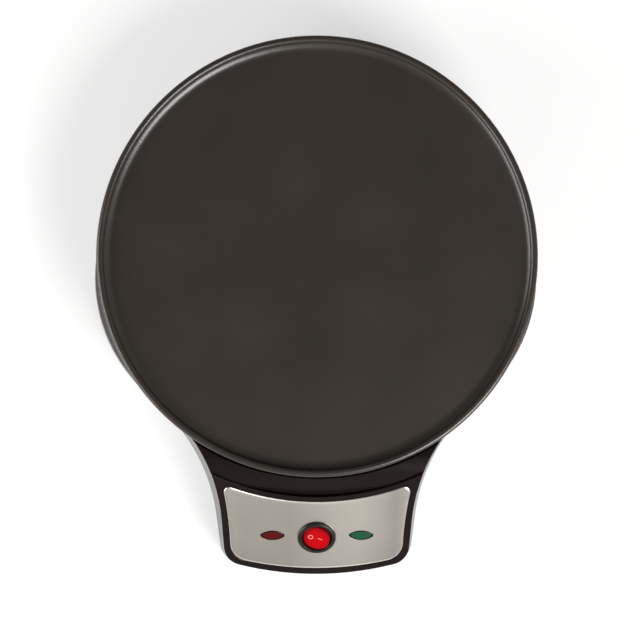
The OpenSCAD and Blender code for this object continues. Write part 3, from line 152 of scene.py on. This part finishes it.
tl.new(table_skin.outputs[0], mix.inputs[1])
tl.new(glow.outputs[0], mix.inputs[2])
tl.new(mix.outputs[0], tn["Material Output"].inputs["Surface"])
table.data.materials.append(table_mat)


# ------------------------------------------------------------------ housing
# One moulding in brown-black plastic with a fine satin, its edges softly rounded in the tool.
# It carries the plate on a shelf, the panel in a recess and the cord's gland at the back.
CLOUD_SCALE, CLOUD_DETAIL, GRAIN_DETAIL = 18, 6, 3
GRAIN_DEPTH = 0.0005
TINT_FROM, TINT_TO = 0.3, 0.7
EDGE_SAMPLES = 6


def surface(name, color, rough, metal=0.0, grain=400.0, bump=0.05, round_edge=0.0003, uneven=0.12, spec=0.5):
    """A material with a slightly uneven colour, a grain and softly rounded edges."""
    mat = bpy.data.materials.new(name)
    mat.use_nodes = True
    nodes, links = mat.node_tree.nodes, mat.node_tree.links
    skin = nodes["Principled BSDF"]
    skin.inputs["Metallic"].default_value = metal
    skin.inputs["Roughness"].default_value = rough
    skin.inputs["Specular IOR Level"].default_value = spec
    place = nodes.new("ShaderNodeTexCoord")
    cloud = nodes.new("ShaderNodeTexNoise")
    cloud.inputs["Scale"].default_value = CLOUD_SCALE
    cloud.inputs["Detail"].default_value = CLOUD_DETAIL
    tint = shade_ramp(nodes, ((TINT_FROM, (*[c * (1 - uneven) for c in color], 1)),
                              (TINT_TO, (*[min(1, c * (1 + uneven)) for c in color], 1))))
    tint.name = "tint"
    links.new(place.outputs["Object"], cloud.inputs["Vector"])
    links.new(cloud.outputs["Fac"], tint.inputs["Fac"])
    links.new(tint.outputs["Color"], skin.inputs["Base Color"])
    fine = nodes.new("ShaderNodeTexNoise")
    fine.inputs["Scale"].default_value = grain
    fine.inputs["Detail"].default_value = GRAIN_DETAIL
    relief = nodes.new("ShaderNodeBump")
    relief.inputs["Strength"].default_value = bump
    relief.inputs["Distance"].default_value = GRAIN_DEPTH
    edge = nodes.new("ShaderNodeBevel")
    edge.samples = EDGE_SAMPLES
    edge.inputs["Radius"].default_value = round_edge
    links.new(place.outputs["Object"], fine.inputs["Vector"])
    links.new(fine.outputs["Fac"], relief.inputs["Height"])
    links.new(edge.outputs["Normal"], relief.inputs["Normal"])
    links.new(relief.outputs["Normal"], skin.inputs["Normal"])
    return mat


def wear(mat, *nodes):
    """Give solids of the frame their finish."""
    for node in nodes:
        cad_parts[node].data.materials.clear()
        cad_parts[node].data.materials.append(mat)


wear(surface("housing_plastic", (0.0072, 0.0048, 0.0042), 0.22, grain=700, bump=0.06,
             round_edge=0.0010, spec=0.165), "upper_housing")

# ------------------------------------------------------------------ control panel
# Stamped stainless sheet with a rolled edge, satin finished, set in a recess of the console and
# held from behind by push nuts on its studs. It follows the plate's curve above and the
# console's below.
# Sizes from here on are in millimetres, and reaches are measured forward from the plate's axis.
MM = 0.001
PLATE_Y = 0.03685
PANEL_TILT = math.radians(32)
LIP_R, LIP_Z = 170.1, 61.4
PANEL_TOP_R, PANEL_END_R = 173.5, 224.5
PANEL_W, SIDE_R, LOW_R, HIGH_R = 124.2, 250.0, 14.0, 4.0
PANEL_UNDER, PANEL_TOP = -0.55, 0.8
ROLL_W, ROLL_STEPS = 2.4, 7
END_STEPS, LOW_STEPS, SIDE_STEPS, HIGH_STEPS, TOP_STEPS = 14, 12, 12, 10, 18
SWITCH_REACH, SWITCH_HOLE_R, HOLE_SIDES = 200.1, 12.3, 64
LAMP_REACH, LAMP_PITCH = 199.0, 31.8
LENS_HOLE_W, LENS_HOLE_H = 17.4, 8.7
OVAL_POINTED, OVAL_REACH, OVAL_BLUNT, OVAL_STEPS = 1.12, 0.985, 0.4, 20
SHARP_FROM = math.radians(40)
# Painted sheen across the panel: half its width, and colour levels from its left edge to its right edge.
SHEEN_HALF_W = 63
SHEEN_ACROSS = ((0.0, 0.92), (0.08, 0.84), (0.35, 0.80), (0.58, 0.96), (0.74, 1.0),
                (0.88, 0.84), (0.94, 0.72), (1.0, 0.82))


def add_piece(name, bm, mat, body, slot, *replaced):
    """Close a mesh, give it its material and tie it to its body."""
    bmesh.ops.recalc_face_normals(bm, faces=bm.faces)
    mesh = bpy.data.meshes.new(name)
    bm.to_mesh(mesh)
    bm.free()
    for polygon in mesh.polygons:
        polygon.use_smooth = True
    mesh.set_sharp_from_angle(angle=SHARP_FROM)
    mesh.materials.append(mat)
    piece = bpy.data.objects.new(name, mesh)
    bpy.context.scene.collection.objects.link(piece)
    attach(piece, body)
    if replaced:
        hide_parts(*replaced)


def add_ring(bm, points):
    return [bm.verts.new(p) for p in points]


def join_rings(bm, low, high):
    """Faces between two closed rings of the same count."""
    for i in range(len(low)):
        j = (i + 1) % len(low)
        bm.faces.new((low[i], low[j], high[j], high[i]))


def face_point(x, reach, up):
    """World point at a distance up from the console face, straight above a plan position."""
    z = LIP_Z - (reach - LIP_R) * math.tan(PANEL_TILT) + up / math.cos(PANEL_TILT)
    return Vector((x * MM, PLATE_Y - reach * MM, z * MM))


def turns_round(count):
    return [2 * math.pi * i / count for i in range(count)]


def arc(center, radius, start, end, count):
    turns = [start + (end - start) * i / count for i in range(count + 1)]
    return [(center[0] + radius * math.cos(t), center[1] + radius * math.sin(t)) for t in turns]


def bearing(v):
    return math.atan2(v.y, v.x)


def panel_outline(grow):
    """Plan outline about the plate's axis, as (x, y) in mm, grown outwards by grow."""
    side = Vector((PANEL_W / 2 + SIDE_R, -(PANEL_END_R - LOW_R)))

    def meet(r_axis, r_side):
        """Centre of a corner's arc, from its distances to the plate's axis and the side's centre."""
        d = side.length
        along = (d * d + r_axis ** 2 - r_side ** 2) / (2 * d)
        off = math.sqrt(r_axis ** 2 - along ** 2)
        u = side / d
        return Vector((along * u.x + off * u.y, along * u.y - off * u.x))

    low = meet(PANEL_END_R - LOW_R, SIDE_R + LOW_R)
    high = meet(PANEL_TOP_R + HIGH_R, SIDE_R + HIGH_R)
    low_in, high_in = bearing(side - low), bearing(side - high)
    down = -math.pi / 2
    half = (arc((0, 0), PANEL_END_R + grow, down, bearing(low), END_STEPS)
            + arc(low, LOW_R + grow, bearing(low), low_in, LOW_STEPS)[1:]
            + arc(side, SIDE_R - grow, low_in + math.pi, high_in + math.pi, SIDE_STEPS)[1:]
            + arc(high, HIGH_R + grow, high_in, math.pi + bearing(high), HIGH_STEPS)[1:]
            + arc((0, 0), PANEL_TOP_R - grow, bearing(high), down, TOP_STEPS)[1:])
    return half + [(-x, y) for x, y in reversed(half[1:-1])]


def oval_points(width, height):
    """A pointed oval with blunted tips on the face, about its middle, counterclockwise."""
    radius = ((width * OVAL_POINTED) ** 2 + height ** 2) / (4 * height)
    reach = math.asin(min(1.0, (width / 2) * OVAL_REACH / radius))
    upper = [(radius * math.sin(a), radius * math.cos(a) - radius + height / 2)
             for a in (reach * (1 - 2 * i / OVAL_STEPS) for i in range(OVAL_STEPS + 1))]
    tip = upper[0][1] * OVAL_BLUNT
    side = [(-width / 2, tip), (-width / 2, -tip)]
    return upper + side + [(-x, -y) for x, y in upper] + [(-x, -y) for x, y in side]


def panel_hole(middle, reach, points):
    """A hole's outline on the face, as plan points."""
    return [(middle + x, -reach + y * math.cos(PANEL_TILT)) for x, y in points]


panel_mesh = bmesh.new()
panel_rings = [(0.0, PANEL_UNDER), (0.0, 0.0)]
for i in range(1, ROLL_STEPS + 1):
    turn = math.pi / 2 * i / ROLL_STEPS
    panel_rings.append((-ROLL_W * (1 - math.cos(turn)), PANEL_TOP * math.sin(turn)))
panel_loops = [add_ring(panel_mesh, [face_point(x, -y, up) for x, y in panel_outline(grow)])
               for grow, up in panel_rings]
for low, high in zip(panel_loops, panel_loops[1:]):
    join_rings(panel_mesh, low, high)
switch_hole = [(SWITCH_HOLE_R * math.cos(t), SWITCH_HOLE_R * math.sin(t)) for t in turns_round(HOLE_SIDES)]
lens_hole = oval_points(LENS_HOLE_W, LENS_HOLE_H)
holes = (panel_hole(0, SWITCH_REACH, switch_hole),
         panel_hole(-LAMP_PITCH, LAMP_REACH, lens_hole),
         panel_hole(LAMP_PITCH, LAMP_REACH, lens_hole))
hole_rims = []
for loop, up in ((panel_loops[-1], PANEL_TOP), (panel_loops[0], PANEL_UNDER)):
    edges = [panel_mesh.edges.get((loop[i], loop[(i + 1) % len(loop)])) for i in range(len(loop))]
    for hole in holes:
        rim = add_ring(panel_mesh, [face_point(x, -y, up) for x, y in hole])
        edges += [panel_mesh.edges.new((rim[i], rim[(i + 1) % len(rim)])) for i in range(len(rim))]
        hole_rims.append(rim)
    bmesh.ops.triangle_fill(panel_mesh, edges=edges, use_beauty=True, use_dissolve=False)
for top, under in zip(hole_rims[:3], hole_rims[3:]):
    join_rings(panel_mesh, top, under)

# Painted sheen: the sheet's colour is made darker and lighter in broad bands from side to side, standing in
# for the lamps' soft reflections on the steel.
panel_steel = surface("panel_steel", (0.74, 0.69, 0.63), 0.30, metal=1.0, grain=1400, bump=0.05,
                      round_edge=0.0001, uneven=0.05)
sheet_nodes, sheet_links = panel_steel.node_tree.nodes, panel_steel.node_tree.links
sheet_place = sheet_nodes.new("ShaderNodeTexCoord")
sheet_split = sheet_nodes.new("ShaderNodeSeparateXYZ")
across_sheet = sheet_nodes.new("ShaderNodeMapRange")
across_sheet.inputs["From Min"].default_value = -SHEEN_HALF_W * MM
across_sheet.inputs["From Max"].default_value = SHEEN_HALF_W * MM
sheen = shade_ramp(sheet_nodes, [(place, grey(level)) for place, level in SHEEN_ACROSS])
# Multiplies the painted sheen bands into the sheet's colour.
painted_sheen_mix = sheet_nodes.new("ShaderNodeMix")
painted_sheen_mix.data_type, painted_sheen_mix.blend_type = "RGBA", "MULTIPLY"
painted_sheen_mix.inputs["Factor"].default_value = 1.0
sheet_links.new(sheet_place.outputs["Object"], sheet_split.inputs[0])
sheet_links.new(sheet_split.outputs["X"], across_sheet.inputs["Value"])
sheet_links.new(across_sheet.outputs["Result"], sheen.inputs["Fac"])
sheet_links.new(sheet_nodes["tint"].outputs["Color"], painted_sheen_mix.inputs["A"])
sheet_links.new(sheen.outputs["Color"], painted_sheen_mix.inputs["B"])
sheet_links.new(painted_sheen_mix.outputs["Result"], sheet_nodes["Principled BSDF"].inputs["Base Color"])
add_piece("panel_sheet", panel_mesh, panel_steel, "base", "panel_steel", "control_panel")
spring_steel = surface("spring_steel", (0.55, 0.55, 0.56), 0.25, metal=1.0, grain=400, bump=0.05)
wear(spring_steel, "panel_nuts")

# ------------------------------------------------------------------ switch
# A round snap-in rocker switch: black barrel and bezel, and a hollow translucent red rocker
# pressed in on its left side. Inside, a sprung plunger rolls over a copper lever that bridges
# brass tabs.
PIVOT_UP = 0.2
ROCKER_R = 9.9
CROWN_UP = 1.7
HOLLOW_R = 50.0
EDGE_SOFT, EDGE_SINK = 1.1, 0.25
REST_TURN = math.radians(-11)
ROCKER_SIDES, TOP_RINGS, TOP_REACH = 96, 32, 0.99995
SIDE_UPS = (-1.0, -2.0, -3.0)
SLEEVE_R, SLEEVE_LOW = 2.8, -7.0
SLEEVE_BORE_R, SLEEVE_BORE_TOP = 1.65, -1.4
TRUNNION_R, TRUNNION_START, TRUNNION_END, TRUNNION_SIDES = 1.2, 9.2, 11.9, 24
# The rocker's red face and the painted shade at its rim: its colour, its middle, and where the shade starts
# and is full.
RED_FACE, RED_RIM_SHADE = (0.35, 0.0005, 0.003, 1), (0.09, 0.001, 0.003, 1)
RED_MIDDLE, RIM_SHADE_FROM, RIM_SHADE_TO = (0.6, -1.2), 7.0, 11.2
FACE_X = Vector((1, 0, 0))
FACE_Y = Vector((0, math.cos(PANEL_TILT), math.sin(PANEL_TILT)))
FACE_UP = Vector((0, -math.sin(PANEL_TILT), math.cos(PANEL_TILT)))
PIVOT = face_point(0, SWITCH_REACH, 0) + FACE_UP * PIVOT_UP * MM


def rocker_point(x, y, up):
    """World point of the rocker at rest, from its pivot."""
    turned_x = x * math.cos(REST_TURN) + up * math.sin(REST_TURN)
    turned_up = -x * math.sin(REST_TURN) + up * math.cos(REST_TURN)
    return PIVOT + (FACE_X * turned_x + FACE_Y * y + FACE_UP * turned_up) * MM


def rocker_top(x, y):
    """Height of the hollow top, eased down into the ball-shaped side."""
    hollow = CROWN_UP + HOLLOW_R - math.sqrt(HOLLOW_R ** 2 - x * x)
    ball = math.sqrt(max(0.0, ROCKER_R ** 2 - x * x - y * y))
    gap = max(EDGE_SOFT - abs(hollow - ball), 0.0) / EDGE_SOFT
    return min(hollow, ball) - gap * gap * EDGE_SOFT * EDGE_SINK


def rocker_circle(radius, up):
    return [rocker_point(radius * math.cos(t), radius * math.sin(t), up) for t in turns_round(ROCKER_SIDES)]


rocker = bmesh.new()
middle = rocker.verts.new(rocker_point(0, 0, rocker_top(0, 0)))
top_rings = []
for step in range(1, TOP_RINGS + 1):
    radius = ROCKER_R * math.sin(math.pi / 2 * step / TOP_RINGS) * TOP_REACH
    spots = [(radius * math.cos(t), radius * math.sin(t)) for t in turns_round(ROCKER_SIDES)]
    top_rings.append(add_ring(rocker, [rocker_point(x, y, rocker_top(x, y)) for x, y in spots]))
for i in range(ROCKER_SIDES):
    rocker.faces.new((middle, top_rings[0][i], top_rings[0][(i + 1) % ROCKER_SIDES]))
side_shapes = [(math.sqrt(ROCKER_R ** 2 - up * up), up) for up in SIDE_UPS]
sleeve_shapes = [(SLEEVE_R, SIDE_UPS[-1]), (SLEEVE_R, SLEEVE_LOW),
                 (SLEEVE_BORE_R, SLEEVE_LOW), (SLEEVE_BORE_R, SLEEVE_BORE_TOP)]
rocker_rings = top_rings + [add_ring(rocker, rocker_circle(r, up)) for r, up in side_shapes + sleeve_shapes]
for one, next_one in zip(rocker_rings, rocker_rings[1:]):
    join_rings(rocker, one, next_one)
rocker.faces.new(rocker_rings[-1])
for end in (-1, 1):
    rims = [add_ring(rocker, [rocker_point(TRUNNION_R * math.cos(t), end * y, TRUNNION_R * math.sin(t))
                              for t in turns_round(TRUNNION_SIDES)])
            for y in (TRUNNION_START, TRUNNION_END)]
    join_rings(rocker, *rims)
    rocker.faces.new(rims[0])
    rocker.faces.new(rims[1])

# Painted shade: the red darkens towards the rim, and most at its upper side, standing in for the shade in
# the gap under the bezel around the rocker; the wall is also seen through more of its thickness there.
rocker_red = surface("rocker_red", (0.35, 0.002, 0.006), 0.2, grain=260, bump=0.10, round_edge=0.0001,
                     spec=0.1)
red_nodes, red_links = rocker_red.node_tree.nodes, rocker_red.node_tree.links
red_place = red_nodes.new("ShaderNodeTexCoord")
from_middle = red_nodes.new("ShaderNodeVectorMath")
from_middle.operation = "DISTANCE"
from_middle.inputs[1].default_value = rocker_point(*RED_MIDDLE, CROWN_UP)
# Painted shade ramp: face red in the middle, dark maroon at the rim.
painted_rim_shade = shade_ramp(red_nodes, ((RIM_SHADE_FROM * MM, RED_FACE), (RIM_SHADE_TO * MM, RED_RIM_SHADE)))
red_links.new(red_place.outputs["Object"], from_middle.inputs[0])
red_links.new(from_middle.outputs["Value"], painted_rim_shade.inputs["Fac"])
red_links.new(painted_rim_shade.outputs["Color"], red_nodes["Principled BSDF"].inputs["Base Color"])
add_piece("rocker_cap", rocker, rocker_red, "rocker", "rocker_red", "switch_rocker")

wear(surface("switch_plastic", (0.012, 0.009, 0.008), 0.30, grain=500, bump=0.10,
             round_edge=0.0005, spec=0.22), "switch_body")
brass = surface("brass", (0.62, 0.43, 0.16), 0.35, metal=1.0, grain=250, bump=0.1, round_edge=0.0001)
copper = surface("copper", (0.62, 0.27, 0.13), 0.35, metal=1.0, grain=250, bump=0.1, round_edge=0.0001)
wear(brass, "switch_plunger", "switch_terminals")
wear(copper, "switch_lever")
wear(spring_steel, "switch_spring")

# ------------------------------------------------------------------ switch marks
# A ring on the pressed side and a dash beside the middle, pad printed in pale paint on the
# rocker's hollow top.
MARK_LIFT = 0.03
RING_AT, RING_OUT, RING_IN, RING_SIDES = Vector((-4.1, 0.6)), 1.85, 1.25, 48
DASH_FROM, DASH_TO, DASH_HALF, DASH_STEPS = Vector((1.3, -0.1)), Vector((4.4, -0.7)), 0.3, 8


def mark_point(spot):
    return rocker_point(spot.x, spot.y, rocker_top(spot.x, spot.y) + MARK_LIFT)


def mark_circle(radius):
    return [mark_point(RING_AT + radius * Vector((math.cos(t), math.sin(t))))
            for t in turns_round(RING_SIDES)]


marks = bmesh.new()
join_rings(marks, add_ring(marks, mark_circle(RING_IN)), add_ring(marks, mark_circle(RING_OUT)))
run = DASH_TO - DASH_FROM
across = Vector((-run.y, run.x)).normalized() * DASH_HALF
dash = []
for i in range(DASH_STEPS + 1):
    at = DASH_FROM + run * i / DASH_STEPS
    dash.append(add_ring(marks, (mark_point(at + across), mark_point(at - across))))
for near, far in zip(dash, dash[1:]):
    marks.faces.new((near[0], near[1], far[1], far[0]))
mark_paint = surface("mark_white", (0.58, 0.20, 0.17), 0.4, grain=500, bump=0.05, round_edge=0.00005)
add_piece("rocker_marks", marks, mark_paint, "rocker", "rocker_red")

# ------------------------------------------------------------------ signal lamps
# Pointed-oval translucent lenses, dark red for power and green for ready, pressed in from the
# front and clipped behind. Each has a low dome and fine flutes, with a neon lamp in its stem.
LENS_W, LENS_H, LENS_TOP = 16.5, 7.8, 0.6
LENS_DOME_R = 60.0
LENS_SHARES, LENS_RIM_DROP = (0.12, 0.3, 0.5, 0.7, 0.82, 0.9, 0.96, 1.0), 0.12
LENS_LOW, STEM_SIDES = -0.55, 40
STEM_R, STEM_LOW, STEM_BORE_R, STEM_BORE_TOP = 3.8, -9.0, 2.4, -1.0
# The lenses' painted edge shade: its colour, and the share of the way out where it starts and where it is
# full.
LENS_EDGE_SHADE, EDGE_SHADE_FROM, EDGE_SHADE_TO = (0.004, 0.004, 0.004, 1), 0.84, 0.93
FLUTE_COUNT, FLUTE_PITCH, FLUTE_L, FLUTE_W, FLUTE_H = 19, 0.62, 3.0, 0.22, 0.12
FLUTE_SINK, FLUTE_MARGIN = 0.02, 1.5


def lens_point(middle, x, y, up):
    return face_point(middle, LAMP_REACH, 0) + (FACE_X * x + FACE_Y * y + FACE_UP * up) * MM


def dome_drop(x, y):
    return (x * x + y * y) / (2 * LENS_DOME_R)


def lens_mesh(middle):
    """A domed lens with a hollow stem behind it, as one closed shell."""
    bm = bmesh.new()
    edge_share = bm.verts.layers.float.new("edge_share")
    outline = oval_points(LENS_W, LENS_H)
    rings = []
    for part in LENS_SHARES:
        top = LENS_TOP - (LENS_RIM_DROP if part == 1.0 else 0.0)
        spots = [(x * part, y * part) for x, y in outline]
        rings.append(add_ring(bm, [lens_point(middle, x, y, top - dome_drop(x, y)) for x, y in spots]))
        for vertex in rings[-1]:
            vertex[edge_share] = part
    bm.faces.new(rings[0])
    rings.append(add_ring(bm, [lens_point(middle, x, y, LENS_LOW) for x, y in outline]))
    for inner, outer in zip(rings, rings[1:]):
        join_rings(bm, inner, outer)
    bm.faces.new(rings[-1])
    stem = [add_ring(bm, [lens_point(middle, r * math.cos(t), r * math.sin(t), up)
                          for t in turns_round(STEM_SIDES)])
            for r, up in ((STEM_R, LENS_LOW), (STEM_R, STEM_LOW), (STEM_BORE_R, STEM_LOW),
                          (STEM_BORE_R, STEM_BORE_TOP))]
    for low, high in zip(stem, stem[1:]):
        join_rings(bm, low, high)
    bm.faces.new(stem[-1])
    bm.faces.new(stem[0])
    return bm


def flute_tree(name, mat):
    """Fine raised flutes side by side in a row, as geometry nodes, and their inputs' identifiers."""
    tree = bpy.data.node_groups.new(name, "GeometryNodeTree")
    tree.interface.new_socket("Geometry", in_out="INPUT", socket_type="NodeSocketGeometry")
    sockets = {}
    for size in ("Count", "Pitch", "Length", "Width", "Height"):
        kind = "NodeSocketInt" if size == "Count" else "NodeSocketFloat"
        sockets[size] = tree.interface.new_socket(size, in_out="INPUT", socket_type=kind).identifier
    tree.interface.new_socket("Geometry", in_out="OUTPUT", socket_type="NodeSocketGeometry")
    nodes, links = tree.nodes, tree.links
    given, result = nodes.new("NodeGroupInput"), nodes.new("NodeGroupOutput")
    row = nodes.new("GeometryNodeMeshLine")
    offset = nodes.new("ShaderNodeCombineXYZ")
    bar = nodes.new("GeometryNodeMeshCube")
    bar_size = nodes.new("ShaderNodeCombineXYZ")
    put = nodes.new("GeometryNodeInstanceOnPoints")
    real = nodes.new("GeometryNodeRealizeInstances")
    paint = nodes.new("GeometryNodeSetMaterial")
    paint.inputs["Material"].default_value = mat
    links.new(given.outputs["Count"], row.inputs["Count"])
    links.new(given.outputs["Pitch"], offset.inputs["X"])
    links.new(offset.outputs[0], row.inputs["Offset"])
    links.new(given.outputs["Width"], bar_size.inputs["X"])
    links.new(given.outputs["Length"], bar_size.inputs["Y"])
    links.new(given.outputs["Height"], bar_size.inputs["Z"])
    links.new(bar_size.outputs[0], bar.inputs["Size"])
    links.new(row.outputs[0], put.inputs["Points"])
    links.new(bar.outputs[0], put.inputs["Instance"])
    links.new(put.outputs[0], real.inputs[0])
    links.new(real.outputs[0], paint.inputs[0])
    links.new(paint.outputs[0], result.inputs[0])
    return tree, sockets


def flute_mesh(name, middle, mat):
    """The flutes, shortened towards the lens's tips and bent down over its dome."""
    tree, sockets = flute_tree(name, mat)
    holder = bpy.data.objects.new(name, bpy.data.meshes.new(name))
    bpy.context.scene.collection.objects.link(holder)
    row = holder.modifiers.new("row", "NODES")
    row.node_group = tree
    row[sockets["Count"]] = FLUTE_COUNT
    for size, value in (("Pitch", FLUTE_PITCH), ("Length", FLUTE_L),
                        ("Width", FLUTE_W), ("Height", FLUTE_H)):
        row[sockets[size]] = value * MM
    shaped = bpy.data.meshes.new_from_object(holder.evaluated_get(bpy.context.evaluated_depsgraph_get()))
    bpy.data.objects.remove(holder)
    half = (FLUTE_COUNT - 1) / 2 * FLUTE_PITCH
    for vertex in shaped.vertices:
        x, y, up = vertex.co.x / MM - half, vertex.co.y / MM, vertex.co.z / MM
        y *= 1 - (x / (half + FLUTE_MARGIN)) ** 2
        vertex.co = lens_point(middle, x, y, LENS_TOP + up - FLUTE_SINK - dome_drop(x, y))
    bm = bmesh.new()
    bm.from_mesh(shaped)
    return bm


for side, name, node, slot, color in ((-1, "red_lens", "power_lens", "lens_red", (0.06, 0.002, 0.003)),
                                      (1, "green_lens", "ready_lens", "lens_green", (0.009, 0.060, 0.027))):
    lens_mat = surface(slot, color, 0.2, grain=300, bump=0.06, round_edge=0.0001, uneven=0.15, spec=0.2)
    lens_nodes, lens_links = lens_mat.node_tree.nodes, lens_mat.node_tree.links
    # Painted shade: each lens darkens to near black at its outer edge, standing in for the shadow in the gap
    # between lens and panel hole.
    toward_edge = lens_nodes.new("ShaderNodeAttribute")
    toward_edge.attribute_name = "edge_share"
    painted_edge_shade = shade_ramp(lens_nodes, ((EDGE_SHADE_FROM, (*color, 1)), (EDGE_SHADE_TO, LENS_EDGE_SHADE)))
    lens_links.new(toward_edge.outputs["Fac"], painted_edge_shade.inputs["Fac"])
    lens_links.new(painted_edge_shade.outputs["Color"], lens_nodes["Principled BSDF"].inputs["Base Color"])
    add_piece(name, lens_mesh(side * LAMP_PITCH), lens_mat, "base", slot, node)
    flutes = flute_mesh(name + "_row", side * LAMP_PITCH, lens_mat)
    add_piece(name + "_flutes", flutes, lens_mat, "base", slot)
lamp_glass = surface("lamp_glass", (0.8, 0.75, 0.7), 0.08, grain=200, bump=0.02)
lamp_glass.node_tree.nodes["Principled BSDF"].inputs["Transmission Weight"].default_value = 0.7
wear(lamp_glass, "neon_lamps")
wear(spring_steel, "lens_clips")

# ------------------------------------------------------------------ cooking plate
# One aluminium casting with a rounded lip and a hollow inner wall, sprayed inside and out
# with black non-stick. Three screws from below hold it, on insulating washers, to the housing.
wear(surface("plate_nonstick", (0.025, 0.0205, 0.0165), 0.28, grain=900, bump=0.12,
             round_edge=0.0006, spec=0.45), "cooking_plate")
wear(surface("mica", (0.55, 0.50, 0.36), 0.45, grain=350, bump=0.15, uneven=0.25), "insulating_washers")
screw_steel = surface("screw_steel", (0.55, 0.55, 0.54), 0.32, metal=1.0, grain=300, bump=0.08,
                      round_edge=0.0002)
wear(screw_steel, "plate_screws")

# ------------------------------------------------------------------ heating
# A sheathed ring element held up against the plate by five sprung, screwed clips, over a
# bright reflector pan that rests on the housing's shelf.
wear(surface("element_steel", (0.10, 0.095, 0.09), 0.5, metal=0.8, grain=200, bump=0.2, uneven=0.35),
     "heating_element")
clip_steel = surface("clip_steel", (0.45, 0.45, 0.45), 0.35, metal=1.0, grain=260, bump=0.1)
wear(clip_steel, "element_clips")
wear(screw_steel, "clip_screws")
wear(surface("reflector_sheet", (0.68, 0.69, 0.70), 0.22, metal=1.0, grain=150, bump=0.08), "heat_reflector")

# ------------------------------------------------------------------ thermostat
# A snap-disc thermostat under the middle of the plate, held by two screws: drawn cap, phenolic
# body, bimetal disc, ceramic pin and a sprung copper arm between two tabs.
wear(surface("cap_aluminium", (0.60, 0.61, 0.62), 0.3, metal=1.0, grain=300, bump=0.06), "thermostat_cap")
wear(surface("phenolic", (0.045, 0.026, 0.017), 0.45, grain=350, bump=0.2, uneven=0.25), "thermostat_body")
wear(surface("bimetal", (0.42, 0.36, 0.25), 0.3, metal=1.0, grain=200, bump=0.05), "bimetal_disc")
wear(surface("pin_ceramic", (0.75, 0.71, 0.62), 0.6, grain=500, bump=0.15), "thermostat_pin")
wear(copper, "thermostat_arm")
wear(brass, "thermostat_terminals")
wear(screw_steel, "thermostat_screws")

# ------------------------------------------------------------------ thermal fuse
# A one-shot fuse in a woven, varnished glass-fibre sleeve, strapped to the plate by a bent
# steel strip and one screw.
wear(surface("fuse_case", (0.62, 0.62, 0.62), 0.25, metal=1.0, grain=250, bump=0.05), "thermal_fuse")
wear(surface("glass_fibre", (0.62, 0.50, 0.26), 0.7, grain=1500, bump=0.6, uneven=0.25), "fuse_sleeve")
wear(clip_steel, "fuse_strap")
wear(screw_steel, "fuse_screw")

# ------------------------------------------------------------------ cord inlet and terminal block
# Soft gland through the back wall, a moulded clamp bar behind it on two screws, and a block
# with three brass inserts, screwed down. The cord itself isn't part of the piece.
cover_plastic = surface("cover_plastic", (0.02, 0.018, 0.017), 0.55, grain=700, bump=0.3, round_edge=0.0004)
wear(surface("gland_rubber", (0.017, 0.017, 0.017), 0.7, grain=1000, bump=0.3, uneven=0.2), "cord_gland")
wear(cover_plastic, "cord_clamp")
wear(surface("block_nylon", (0.68, 0.64, 0.54), 0.5, grain=400, bump=0.12), "terminal_block")
wear(brass, "terminal_inserts")
wear(screw_steel, "clamp_screws", "terminal_screws", "block_screws")

# ------------------------------------------------------------------ wiring
# Stranded wires in coloured sleeves, each laid from tab to tab, and a brass tag that earths
# the plate under one screw.
for slot, node, color in (("wire_brown", "wire_live", (0.12, 0.045, 0.02)),
                          ("wire_black", "wire_switched", (0.018, 0.018, 0.018)),
                          ("wire_blue", "wire_neutral", (0.02, 0.09, 0.33)),
                          ("wire_red", "wire_element", (0.36, 0.03, 0.018)),
                          ("wire_green", "wire_earth", (0.14, 0.33, 0.03)),
                          ("wire_grey", "wire_lamps", (0.2, 0.2, 0.2))):
    wear(surface(slot, color, 0.5, grain=600, bump=0.15), node)
wear(brass, "earth_tag")
wear(screw_steel, "earth_screw")

# ------------------------------------------------------------------ bottom cover and feet
# Matt moulded cover with two fields of air slots, closed last with six screws into the
# housing's posts, and four rubber feet pressed into it.
wear(cover_plastic, "lower_cover")
wear(surface("foot_rubber", (0.016, 0.016, 0.016), 0.85, grain=1200, bump=0.4, uneven=0.2, spec=0.3),
     "rubber_feet")
wear(screw_steel, "housing_screws")
